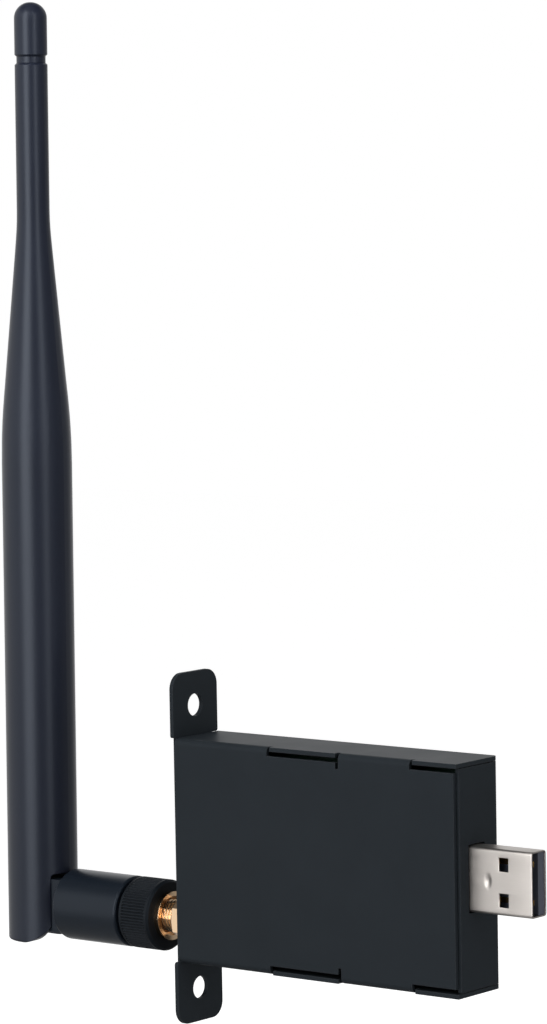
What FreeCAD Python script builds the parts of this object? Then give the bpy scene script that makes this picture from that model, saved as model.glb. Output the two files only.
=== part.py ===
"""USB wi-fi dongle: a folded steel box on a wall bracket, a USB plug and a hinged whip antenna.

X runs from the antenna to the plug, Y from the front to the back, Z up. The origin is
midway between the two ear holes, on the outer face of the end plate that carries them.
"""
import FreeCAD, Part
import math
import os
import re

import Sketcher

doc = FreeCAD.newDocument("usb_wifi_dongle")

# Sizes in millimetres, angles in degrees, counts as whole numbers
SIZES = (
    # housing
    ("sheet", 0.8, "steel sheet of the cover and the chassis"),
    ("box_length", 66.0, "from the antenna end plate to the USB end plate, outside"),
    ("box_depth", 13.2, "front to back, outside"),
    ("box_height", 42.6, "top to bottom, outside"),
    ("bend_radius", 1.2, "outside of a fold"),
    ("panel_gap", 0.15, "between the cover and the chassis"),
    ("seam", 0.6, "front panel's edge short of the USB end"),
    ("ear_reach", 12.1, "ear beyond the box"),
    ("ear_corner", 3.0, "corner radius of an ear"),
    ("ear_foot", 0.5, "corner radius beside the neck of an ear"),
    ("ear_hole_rise", 5.7, "middle of a mounting hole beyond the box"),
    ("ear_hole", 4.3, "diameter of a mounting hole"),
    ("slot_start", 22.9, "middle slot of a front fold, from the origin"),
    ("slot_length", 16.6, "middle slot of a front fold"),
    ("end_slot_start", 55.6, "open slot of a front fold, from the origin"),
    ("slot_height", 0.9, "slot below the edge of the top panel"),
    ("relief_width", 0.7, "cut at the end of a slot"),
    ("relief_depth", 1.2, "cut below the slot"),
    # fasteners inside
    ("screw_radius", 1.0, "back screw"),
    ("screw_length", 8.0, "back screw with its head"),
    ("head_radius", 1.8, "countersunk head"),
    ("recess_length", 2.0, "cross recess in a head"),
    ("recess_width", 0.4, "cross recess in a head"),
    ("recess_depth", 0.5, "cross recess in a head"),
    ("screw_gap", 0.06, "round a screw"),
    ("spacer_radius", 2.1, "spacer between the back and the board"),
    ("standoff_radius", 2.3, "threaded standoff on the cover"),
    ("standoff_seat", 0.4, "standoff pressed into the cover"),
    ("thread_spare", 1.0, "thread beyond the end of a screw"),
    ("stud_left", 14.0, "left studs, from the board's left edge"),
    ("stud_right", 6.0, "right studs, from the board's right edge"),
    ("stud_edge", 3.6, "studs, from the board's long edges"),
    # circuit board
    ("board_thickness", 1.6, "circuit board"),
    ("board_margin", 1.2, "board to the walls"),
    ("board_gap", 0.2, "between the jack flange and the board"),
    ("shield_length", 24.0, "shield can"),
    ("shield_width", 20.0, "shield can"),
    ("shield_height", 2.4, "shield can"),
    ("shield_wall", 0.2, "shield can"),
    ("radio_side", 9.0, "radio chip"),
    ("radio_height", 0.9, "radio chip"),
    ("radio_inset", 4.4, "radio chip from the can's wall toward the plug"),
    ("memory_length", 5.0, "memory chip"),
    ("memory_width", 3.9, "memory chip"),
    ("memory_height", 1.5, "memory chip"),
    ("regulator_length", 3.0, "voltage regulator"),
    ("regulator_width", 1.7, "voltage regulator"),
    ("regulator_height", 1.1, "voltage regulator"),
    ("crystal_length", 3.2, "crystal"),
    ("crystal_width", 2.5, "crystal"),
    ("crystal_height", 0.8, "crystal"),
    ("crystal_inset", 3.0, "crystal from the can's wall toward the jack"),
    ("inductor_side", 4.0, "inductor"),
    ("inductor_height", 2.0, "inductor"),
    ("capacitor_length", 1.6, "capacitor"),
    ("capacitor_width", 0.8, "capacitor"),
    ("capacitor_pitch", 2.6, "from one capacitor to the next"),
    ("capacitors", 6, "in the row"),
    ("part_gap", 1.0, "beside the row of parts between the shield can and the plug"),
    # USB plug
    ("plug_reach", 13.6, "plug beyond the box"),
    ("plug_inside", 5.2, "plug inside the end plate"),
    ("plug_width", 12.0, "plug shell"),
    ("plug_thickness", 4.5, "plug shell"),
    ("plug_offset", 0.5, "middle of the plug in front of the jack's axis"),
    ("plug_wall", 0.3, "plug shell"),
    ("plug_corner", 0.6, "plug shell, outside"),
    ("plug_gap", 0.25, "round the plug in the end plate and the board"),
    ("shell_joint", 0.1, "where the shell's edges meet"),
    ("wing_length", 3.0, "solder wing of the shell"),
    ("wing_reach", 2.5, "solder wing beside the shell"),
    ("insulator_reach", 1.6, "thick part of the insulator beyond the box"),
    ("window_tip", 5.16, "shell window, from the tip"),
    ("window_length", 2.0, "shell window, along the plug"),
    ("window_width", 2.5, "shell window, across the plug"),
    ("window_spread", 4.0, "between the two windows of a face"),
    ("dimple_tip", 9.6, "pressed dimple, from the tip"),
    ("dimple_width", 1.8, "pressed dimple"),
    ("dimple_length", 3.2, "pressed dimple"),
    ("dimple_depth", 0.2, "pressed dimple"),
    ("tongue_thickness", 1.84, "tongue of the insulator"),
    ("tongue_set", 0.3, "end of the tongue behind the tip"),
    ("contact_width", 1.0, "USB contact"),
    ("contact_thickness", 0.2, "USB contact"),
    ("contact_proud", 0.05, "USB contact above the tongue"),
    ("power_contact", 3.5, "outer contacts, from the middle"),
    ("data_contact", 1.0, "inner contacts, from the middle"),
    ("power_tip", 1.2, "outer contacts behind the tip"),
    ("data_tip", 2.2, "inner contacts behind the tip"),
    ("tail_length", 1.8, "contact on the board"),
    # antenna jack
    ("jack_rise", 7.4, "jack's axis above the underside of the box"),
    ("thread_radius", 3.175, "outside of the jack's thread"),
    ("jack_reach", 11.0, "jack beyond the end plate"),
    ("jack_hole_gap", 0.1, "round the jack in the end plate"),
    ("flange_side", 9.0, "jack flange inside the end plate"),
    ("flange_thickness", 2.0, "jack flange"),
    ("leg_length", 4.0, "solder leg along the board"),
    ("leg_width", 1.0, "solder leg"),
    ("leg_spread", 2.8, "solder legs from the jack's axis"),
    ("socket_radius", 2.3, "mouth of the jack"),
    ("socket_depth", 2.0, "mouth of the jack"),
    ("jack_core", 2.05, "radius of the jack insulator"),
    ("pin_radius", 0.46, "jack pin"),
    ("pin_set", 0.4, "end of the jack pin behind the mouth"),
    ("pin_tail", 2.2, "jack pin on the board"),
    ("washer_thickness", 0.6, "lock washer"),
    ("washer_radius", 4.5, "lock washer"),
    ("washer_teeth", 12, "round the lock washer"),
    ("hex_width", 8.0, "across the flats of the jack nut"),
    ("hex_thickness", 2.2, "jack nut"),
    # coupling nut and plug
    ("nut_start", 6.5, "open end of the coupling nut, from the end plate"),
    ("nut_length", 7.4, "coupling nut"),
    ("nut_radius", 6.8, "coupling nut"),
    ("nut_chamfer", 0.45, "ends of the coupling nut"),
    ("knurl_count", 72, "grooves round the coupling nut"),
    ("knurl_depth", 0.22, "groove"),
    ("knurl_margin", 0.9, "plain band at each end of the nut"),
    ("insert_radius", 4.65, "brass insert of the nut"),
    ("insert_proud", 1.0, "insert beyond the open end of the sleeve"),
    ("mouth_radius", 3.75, "mouth of the insert"),
    ("mouth_depth", 1.3, "mouth of the insert"),
    ("turn_gap", 0.08, "radial running clearance of what turns"),
    ("neck_radius", 2.7, "neck of the antenna plug"),
    ("flange_ring", 1.5, "inner flange of the insert"),
    ("ring_section", 0.5, "snap ring"),
    ("ring_depth", 0.5, "snap ring in the neck"),
    ("ring_proud", 0.4, "snap ring beyond the neck"),
    ("ring_opening", 1.6, "gap of the snap ring"),
    ("face_gap", 0.05, "between the faces of the plug and the jack"),
    ("shoulder_radius", 2.9, "plug shoulder inside the nut"),
    ("shoulder_length", 1.3, "plug shoulder"),
    ("plug_core", 1.6, "radius of the plug insulator"),
    ("contact_radius", 0.75, "plug contact"),
    ("collar_radius", 3.4, "collar that holds the knuckle"),
    ("collar_length", 1.4, "collar that holds the knuckle"),
    ("cable_radius", 0.9, "feed cable"),
    ("cable_slack", 0.4, "round the cable in the knuckle"),
    ("cable_grip", 1.0, "cable inside the plug, short of the collar"),
    # knuckle and hinge
    ("nut_gap", 0.6, "between the coupling nut and the knuckle"),
    ("knuckle_radius", 6.8, "knuckle"),
    ("knuckle_edge", 0.5, "rounded ends of the knuckle"),
    ("hinge_reach", 38.3, "hinge axis from the end plate"),
    ("swivel_length", 3.4, "knuckle's bearing on the neck"),
    ("shoulder_reach", 8.0, "knuckle's shoulder from the hinge axis"),
    ("tongue_width", 7.8, "hinge tongue of the knuckle"),
    ("tongue_radius", 5.1, "half the height and round end of the hinge tongue"),
    ("side_gap", 0.1, "beside the hinge tongue"),
    ("trunnion_radius", 1.9, "hinge boss on the tongue"),
    ("trunnion_length", 1.2, "hinge boss on the tongue"),
    ("channel_width", 2.6, "cable channel in the tongue"),
    ("channel_set", 3.2, "cable channel from the hinge axis"),
    # whip
    ("whip_lean", 0.55, "lean of the whip toward the box, in degrees"),
    ("whip_radius", 6.78, "lower part of the whip"),
    ("shaft_radius", 3.16, "upper part of the whip"),
    ("taper_start", 91.7, "foot of the taper above the hinge axis"),
    ("taper_end", 131.3, "head of the taper above the hinge axis"),
    ("taper_foot_round", 140.0, "rounding at the foot of the taper"),
    ("taper_head_round", 60.0, "rounding at the head of the taper"),
    ("whip_top", 173.8, "tip above the hinge axis"),
    ("fork_end", 7.4, "flat ends of the fork from the hinge axis"),
    ("fork_depth", 6.1, "floor of the fork from the hinge axis"),
    ("fork_corner", 6.2, "rounded corner of the fork on the knuckle's side"),
    ("fork_edge", 0.5, "rounded lower edge of the fork"),
    ("floor_corner", 0.8, "rounded corners of the fork's floor"),
    ("whip_wall", 1.4, "wall of the sheath"),
    ("whip_floor", 7.0, "solid stretch above the fork"),
    ("cap_length", 10.0, "tip cap"),
    ("neck_length", 1.6, "groove below the tip cap"),
    ("groove_radius", 2.8, "groove below the tip cap"),
    ("cap_bevel", 0.35, "bevels beside the groove"),
    ("cap_stem", 6.0, "tip cap inside the sheath"),
    ("stem_gap", 0.05, "round the stem of the tip cap"),
    ("dipole_start", 20.0, "dipole sleeve above the hinge axis"),
    ("dipole_length", 36.0, "dipole sleeve"),
    ("dipole_radius", 3.0, "dipole sleeve"),
    ("dipole_wall", 0.4, "dipole sleeve"),
    ("feed_length", 3.0, "cable above the dipole sleeve"),
    ("wire_radius", 0.45, "radiator wire"),
    ("coil_start", 88.0, "radiator coil above the hinge axis"),
    ("coil_radius", 1.5, "middle of the coil's wire"),
    ("coil_pitch", 3.0, "radiator coil"),
    ("coil_turns", 2, "radiator coil"),
    ("radiator_top", 152.0, "end of the radiator above the hinge axis"),
)

sheet = doc.addObject("Spreadsheet::Sheet", "Sizes")
for row, (name, value, meaning) in enumerate(SIZES, start=1):
    sheet.set(f"A{row}", name)
    sheet.set(f"B{row}", str(value))
    sheet.setAlias(f"B{row}", name)
    sheet.set(f"C{row}", meaning)
doc.recompute()
size = {name: value for name, value, meaning in SIZES}

# Places that several pieces share, as formulas of the sizes
HALF_DEPTH = "(box_depth / 2)"
HALF_HEIGHT = "(box_height / 2)"
EAR_HOLE = "(box_height / 2 + ear_hole_rise)"
JACK_DROP = "(box_height / 2 - jack_rise)"
COVER_LEFT = "(sheet + panel_gap)"
FRONT_INSIDE = "(sheet + panel_gap - box_depth / 2)"
BACK_INSIDE = "(box_depth / 2 - sheet)"
CHASSIS_HALF = "(box_height / 2 - sheet - panel_gap)"
BOARD_LEFT = "(sheet + flange_thickness + board_gap)"
BOARD_RIGHT = "(box_length - sheet - board_margin)"
BOARD_HALF = "(box_height / 2 - sheet - panel_gap - board_margin)"
BOARD_FACE = "pin_radius"
BOARD_BACK = f"({BOARD_FACE} + board_thickness)"
STUD_COLUMNS = (f"({BOARD_LEFT} + stud_left)", f"({BOARD_RIGHT} - stud_right)")
STUD_ROW = f"({BOARD_HALF} - stud_edge)"
STUDS = [(column, side + STUD_ROW) for column in STUD_COLUMNS for side in ("", "-")]
SCREW_HOLE = "(screw_radius + screw_gap)"
HEAD_DEPTH = "(head_radius - screw_radius - screw_gap)"
PLUG_BACK = "(box_length - sheet - plug_inside)"
PLUG_TIP = "(box_length + plug_reach)"
CONTACT_BEND = f"({PLUG_BACK} - plug_gap - 2 * contact_thickness)"
PART_ROW = f"({CONTACT_BEND} - tail_length - part_gap - inductor_side)"
SHIELD_LEFT = f"({PART_ROW} - part_gap - shield_length)"
TONGUE_BACK = "(plug_thickness / 2 - plug_wall - plug_offset)"
TONGUE_FRONT = f"({TONGUE_BACK} - tongue_thickness)"
NUT_END = "(nut_start + nut_length)"
FLANGE_START = f"({NUT_END} - flange_ring)"
RING_START = f"({NUT_END} - (flange_ring + ring_section) / 2)"
KNUCKLE_START = f"({NUT_END} + nut_gap)"
COLLAR_START = f"({KNUCKLE_START} + swivel_length)"
COLLAR_END = f"({COLLAR_START} + collar_length)"
PLUG_FACE = "(jack_reach + face_gap)"
PLUG_NOSE = "(jack_reach - socket_depth + face_gap)"
CABLE_START = f"({COLLAR_START} - cable_grip)"
CAP_START = "(whip_top - cap_length)"
SHEATH_TOP = "(whip_top - cap_length - neck_length)"
SHAFT_BORE = "(shaft_radius - whip_wall)"
CAVITY_START = "(fork_depth + whip_floor)"
FEED_TOP = "(dipole_start + dipole_length + feed_length)"


def bound(formula):
    """Write a formula of plain size names the way the document refers to its sheet."""
    return re.sub(r"[a-z][a-z0-9_]*", lambda word: f"Sizes.{word.group()}", formula)


ENDS = {"start": 1, "end": 2}


def join(sketch, chain):
    """Join each piece of a chain to the next, smoothly where the chain says so."""
    for before, leaving, after, entering, kind in chain:
        ends = before, ENDS[leaving], after, ENDS[entering]
        sketch.addConstraint(Sketcher.Constraint(kind, *ends))


def bind(thing, **formulas):
    """Bind properties of an object; a double underscore stands for the dot in a property's path."""
    for path, formula in formulas.items():
        thing.setExpression(path.replace("__", "."), bound(formula))


def pin(sketch, geometry, point, across, up):
    """Hold one point of a sketch at formulas measured from the sketch's origin."""
    start = sketch.getPoint(geometry, point)
    for kind, formula, now in (("DistanceX", across, start.x), ("DistanceY", up, start.y)):
        constraint = Sketcher.Constraint(kind, -1, 1, geometry, point, now)
        index = sketch.addConstraint(constraint)
        sketch.setExpression(f"Constraints[{index}]", bound(formula))


def outline(sketch, corners):
    """Close a straight-sided outline through corners, each a pair of formulas."""
    count = len(corners)
    turn = 2 * math.pi / count
    ring = [FreeCAD.Vector(math.cos(turn * i), math.sin(turn * i), 0) for i in range(count)]
    first = sketch.GeometryCount
    for i in range(count):
        sketch.addGeometry(Part.LineSegment(ring[i], ring[(i + 1) % count]), False)
    for i in range(count):
        following = first + (i + 1) % count
        sketch.addConstraint(Sketcher.Constraint("Coincident", first + i, 2, following, 1))
    for i, (across, up) in enumerate(corners):
        pin(sketch, first + i, 1, across, up)


def rectangle(sketch, left, right, low, high):
    """Draw a rectangle between four formulas."""
    outline(sketch, ((left, low), (right, low), (right, high), (left, high)))


def circle(sketch, across, up, radius):
    """Draw a circle about a pinned centre."""
    start = Part.Circle(FreeCAD.Vector(1, 1, 0), FreeCAD.Vector(0, 0, 1), 1.0)
    index = sketch.addGeometry(start, False)
    pin(sketch, index, 3, across, up)
    constraint = sketch.addConstraint(Sketcher.Constraint("Radius", index, 1.0))
    sketch.setExpression(f"Constraints[{constraint}]", bound(radius))


def beyond_arc(sketch, centre_up, radius, way):
    """Draw what lies outside a half circle, so that a pocket leaves a round end on that side."""
    half_turn = (0, math.pi) if way > 0 else (math.pi, 2 * math.pi)
    right_end, left_end = (1, 2) if way > 0 else (2, 1)
    now = size[radius]
    full = Part.Circle(FreeCAD.Vector(0, 0, 0), FreeCAD.Vector(0, 0, 1), now)
    arc = sketch.addGeometry(Part.ArcOfCircle(full, *half_turn), False)
    ends = {end: sketch.getPoint(arc, end) for end in (right_end, left_end)}
    pin(sketch, arc, 3, "0", centre_up)
    index = sketch.addConstraint(Sketcher.Constraint("Radius", arc, now))
    sketch.setExpression(f"Constraints[{index}]", bound(radius))
    for end, spot in ends.items():
        level = sketch.addConstraint(Sketcher.Constraint("DistanceY", -1, 1, arc, end, spot.y))
        sketch.setExpression(f"Constraints[{level}]", bound(centre_up))
    reach = f"(2 * {radius})"
    far = f"({centre_up} + {way} * {reach})"
    corners = ((reach, centre_up), (reach, far), (f"-{reach}", far), (f"-{reach}", centre_up))
    spots = [FreeCAD.Vector(2 * now * x, 2 * now * way * y, 0) for x, y in ((1, 0), (1, 1), (-1, 1), (-1, 0))]
    route = [ends[right_end], *spots, ends[left_end]]
    lines = [sketch.addGeometry(Part.LineSegment(*pair), False) for pair in zip(route, route[1:])]
    for before, after in zip(lines, lines[1:]):
        sketch.addConstraint(Sketcher.Constraint("Coincident", before, 2, after, 1))
    sketch.addConstraint(Sketcher.Constraint("Coincident", arc, right_end, lines[0], 1))
    sketch.addConstraint(Sketcher.Constraint("Coincident", arc, left_end, lines[-1], 2))
    for line, (across, up) in zip(lines[1:], corners):
        pin(sketch, line, 1, across, up)


def beyond_corner(sketch, centre_up, radius):
    """Draw what lies outside a quarter circle, so that a pocket rounds the lower right corner."""
    now = size[radius]
    full = Part.Circle(FreeCAD.Vector(0, 0, 0), FreeCAD.Vector(0, 0, 1), now)
    arc = sketch.addGeometry(Part.ArcOfCircle(full, 1.5 * math.pi, 2 * math.pi), False)
    foot, side = sketch.getPoint(arc, 1), sketch.getPoint(arc, 2)
    pin(sketch, arc, 3, "0", centre_up)
    index = sketch.addConstraint(Sketcher.Constraint("Radius", arc, now))
    sketch.setExpression(f"Constraints[{index}]", bound(radius))
    level = sketch.addConstraint(Sketcher.Constraint("DistanceY", -1, 1, arc, 2, side.y))
    sketch.setExpression(f"Constraints[{level}]", bound(centre_up))
    sketch.addConstraint(Sketcher.Constraint("PointOnObject", arc, 1, -2))
    reach = f"(2 * {radius})"
    far = f"({centre_up} - {reach})"
    corners = ((reach, centre_up), (reach, far), ("0", far))
    spots = [FreeCAD.Vector(2 * now * x, -2 * now * y, 0) for x, y in ((1, 0), (1, 1), (0, 1))]
    route = [side, *spots, foot]
    lines = [sketch.addGeometry(Part.LineSegment(*pair), False) for pair in zip(route, route[1:])]
    for before, after in zip(lines, lines[1:]):
        sketch.addConstraint(Sketcher.Constraint("Coincident", before, 2, after, 1))
    sketch.addConstraint(Sketcher.Constraint("Coincident", arc, 2, lines[0], 1))
    sketch.addConstraint(Sketcher.Constraint("Coincident", arc, 1, lines[-1], 2))
    for line, (across, up) in zip(lines[1:], corners):
        pin(sketch, line, 1, across, up)


kept = []


def keep(thing, label):
    """Name a finished sub-part, which is written to a file of that name."""
    thing.Label = label
    kept.append(thing)


def new_body(name):
    """Start a sub-part made of sketched features."""
    body = doc.addObject("PartDesign::Body", "Body_" + name)
    keep(body, name)
    return body


def new_sketch(body, name, role, raised="0"):
    """Lay a sketch on one of the body's own origin planes, raised along the plane's normal."""
    sketch = body.newObject("Sketcher::SketchObject", name)
    plane = [item for item in body.Origin.OriginFeatures if item.Role == role][0]
    sketch.AttachmentSupport = [(plane, "")]
    sketch.MapMode = "FlatFace"
    bind(sketch, AttachmentOffset__Base__z=raised)
    return sketch


def pad(body, name, sketch, length, side="One side", reverse=False):
    """Raise a sketch by a formula's length."""
    feature = body.newObject("PartDesign::Pad", name)
    feature.Profile = sketch
    feature.SideType = side
    feature.Reversed = reverse
    bind(feature, Length=length)
    doc.recompute()
    return feature


def cut_is_real(body, before, name):
    """A cut that points away from its solid removes nothing, so the volumes are compared."""
    doc.recompute()
    if body.Shape.Volume >= before - 1e-6:
        raise ValueError(f"{name} removes nothing")


def pocket(body, name, sketch, length=None, side="One side", reverse=False):
    """Cut a sketch into the body, through all of it where no length is given."""
    before = body.Shape.Volume
    feature = body.newObject("PartDesign::Pocket", name)
    feature.Profile = sketch
    feature.SideType = side
    feature.Reversed = reverse
    if length is None:
        feature.Type = "ThroughAll"
    else:
        bind(feature, Length=length)
    cut_is_real(body, before, name)
    return feature


def turn(body, name, sketch):
    """Spin a sketch about its own upright axis."""
    feature = body.newObject("PartDesign::Revolution", name)
    feature.Profile = sketch
    feature.ReferenceAxis = (sketch, ["V_Axis"])
    feature.Angle = 360
    doc.recompute()
    return feature


def bore(body, name, sketch):
    """Cut a sketch out all round the sketch's upright axis."""
    before = body.Shape.Volume
    feature = body.newObject("PartDesign::Groove", name)
    feature.Profile = sketch
    feature.ReferenceAxis = (sketch, ["V_Axis"])
    feature.Angle = 360
    cut_is_real(body, before, name)
    return feature


def turned_body(name, corners):
    """A lathe-turned sub-part: corners are pairs of radius and height."""
    body = new_body(name)
    profile = new_sketch(body, name + "_profile", "XZ_Plane")
    outline(profile, corners)
    turn(body, name + "_turned", profile)
    return body


def edges_where(shape, test):
    """Names of the edges whose middle point passes a test."""
    names = []
    for number, edge in enumerate(shape.Edges, start=1):
        middle = edge.valueAt((edge.FirstParameter + edge.LastParameter) / 2)
        if test(edge, middle):
            names.append(f"Edge{number}")
    return names


def soften(body, name, kind, amount, test):
    """Fillet or chamfer the edges that pass a test."""
    base = body.Tip
    names = edges_where(base.Shape, test)
    if not names:
        raise ValueError(f"{name} finds no edge")
    feature = body.newObject("PartDesign::" + kind, name)
    feature.Base = (base, names)
    if kind == "Fillet":
        bind(feature, Radius=amount)
    else:
        bind(feature, Size=amount)
    doc.recompute()
    return feature


def near(value, target, reach=0.01):
    return abs(value - target) < reach


def runs_along(edge, axis):
    """True for a straight edge along one axis."""
    if edge.Curve.TypeId != "Part::GeomLine":
        return False
    return abs(edge.tangentAt(edge.FirstParameter).dot(axis)) > 0.999


ALONG_X = FreeCAD.Vector(1, 0, 0)
ALONG_Y = FreeCAD.Vector(0, 1, 0)
ALONG_Z = FreeCAD.Vector(0, 0, 1)


def on_jack(thing):
    """Place a piece that is drawn about its own Z axis: out of the end plate, on the jack's axis."""
    thing.Placement = FreeCAD.Placement(FreeCAD.Vector(), FreeCAD.Rotation(ALONG_Y, -90))
    bind(thing, Placement__Base__z=f"-{JACK_DROP}")


def on_whip(thing):
    """Place a piece of the whip: upright from the hinge axis, with the whip's lean."""
    thing.Placement = FreeCAD.Placement(FreeCAD.Vector(), FreeCAD.Rotation(ALONG_Y, 1))
    bind(thing, Placement__Base__x="-hinge_reach", Placement__Base__z=f"-{JACK_DROP}")
    bind(thing, Placement__Rotation__Angle="whip_lean")


def group(name, members):
    """Join like pieces in one sub-part as separate solids."""
    compound = doc.addObject("Part::Compound", "Group_" + name)
    compound.Links = members
    keep(compound, name)
    return compound


def block(name, left, low_y, low_z, length, depth, height):
    """A rectangular block from formulas."""
    box = doc.addObject("Part::Box", name)
    bind(box, Placement__Base__x=left, Placement__Base__y=low_y, Placement__Base__z=low_z)
    bind(box, Length=length, Width=depth, Height=height)
    return box


def rod(name, across, back, up, radius, length):
    """A round rod that runs toward the back from a point given by formulas."""
    cylinder = doc.addObject("Part::Cylinder", name)
    cylinder.Placement = FreeCAD.Placement(FreeCAD.Vector(), FreeCAD.Rotation(ALONG_X, -90))
    bind(cylinder, Placement__Base__x=across, Placement__Base__y=back, Placement__Base__z=up)
    bind(cylinder, Radius=radius, Height=length)
    return cylinder


def cut(name, base, tool):
    """Take one solid away from another."""
    result = doc.addObject("Part::Cut", name)
    result.Base = base
    result.Tool = tool
    return result


# Chassis: back and both end plates folded from one sheet, with the ears on the antenna end
def make_chassis():
    body = new_body("chassis")
    walls = new_sketch(body, "chassis_walls", "XY_Plane")
    outline(walls, (
        ("0", FRONT_INSIDE),
        ("sheet", FRONT_INSIDE),
        ("sheet", BACK_INSIDE),
        ("box_length - sheet", BACK_INSIDE),
        ("box_length - sheet", FRONT_INSIDE),
        ("box_length", FRONT_INSIDE),
        ("box_length", HALF_DEPTH),
        ("0", HALF_DEPTH),
    ))
    pad(body, "chassis_channel", walls, f"2 * {CHASSIS_HALF}", side="Symmetric")

    half_depth = size["box_depth"] / 2

    def outer_fold(edge, at):
        return runs_along(edge, ALONG_Z) and near(at.y, half_depth)

    def inner_fold(edge, at):
        return runs_along(edge, ALONG_Z) and near(at.y, half_depth - size["sheet"])

    soften(body, "chassis_folds", "Fillet", "bend_radius", outer_fold)
    soften(body, "chassis_folds_inside", "Fillet", "bend_radius - sheet", inner_fold)

    ears = new_sketch(body, "ear_outline", "YZ_Plane")
    neck_back = f"({HALF_DEPTH} - bend_radius - sheet / 2)"
    for side in ("", "-"):
        low = f"{side}({CHASSIS_HALF} - sheet)"
        foot = f"{side}{HALF_HEIGHT}"
        top = f"{side}({HALF_HEIGHT} + ear_reach)"
        outline(ears, (
            (FRONT_INSIDE, low),
            (neck_back, low),
            (neck_back, foot),
            (HALF_DEPTH, foot),
            (HALF_DEPTH, top),
            (f"-{HALF_DEPTH}", top),
            (f"-{HALF_DEPTH}", foot),
            (FRONT_INSIDE, foot),
        ))
    pad(body, "ears", ears, "sheet")

    foot_height = size["box_height"] / 2
    ear_top = foot_height + size["ear_reach"]

    def ear_corner(edge, at):
        return runs_along(edge, ALONG_X) and near(abs(at.y), half_depth) and near(abs(at.z), ear_top)

    def ear_foot(edge, at):
        return runs_along(edge, ALONG_X) and near(abs(at.y), half_depth) and near(abs(at.z), foot_height)

    soften(body, "ear_corners", "Fillet", "ear_corner", ear_corner)
    soften(body, "ear_feet", "Fillet", "ear_foot", ear_foot)

    holes = new_sketch(body, "end_plate_holes", "YZ_Plane")
    circle(holes, "0", EAR_HOLE, "ear_hole / 2")
    circle(holes, "0", f"-{EAR_HOLE}", "ear_hole / 2")
    circle(holes, "0", f"-{JACK_DROP}", "thread_radius + jack_hole_gap")
    pocket(body, "end_plate_bores", holes, "sheet", reverse=True)

    opening = new_sketch(body, "plug_opening", "YZ_Plane", "box_length")
    plug_half = "(plug_thickness / 2 + plug_gap)"
    plug_side = "(plug_width / 2 + plug_gap)"
    rectangle(opening, f"-{plug_half} - plug_offset", f"{plug_half} - plug_offset",
              f"-{plug_side}", plug_side)
    pocket(body, "plug_opening_cut", opening, "sheet")

    # Countersunk holes that the screw heads fill flush with the back
    holes = new_sketch(body, "back_holes", "XZ_Plane", f"-{BACK_INSIDE}")
    for across, up in STUDS:
        circle(holes, across, up, SCREW_HOLE)
    pocket(body, "back_bores", holes, "sheet")

    def hole_rim(edge, at):
        return edge.Closed and near(at.y, half_depth)

    soften(body, "countersinks", "Chamfer", HEAD_DEPTH, hole_rim)


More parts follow.
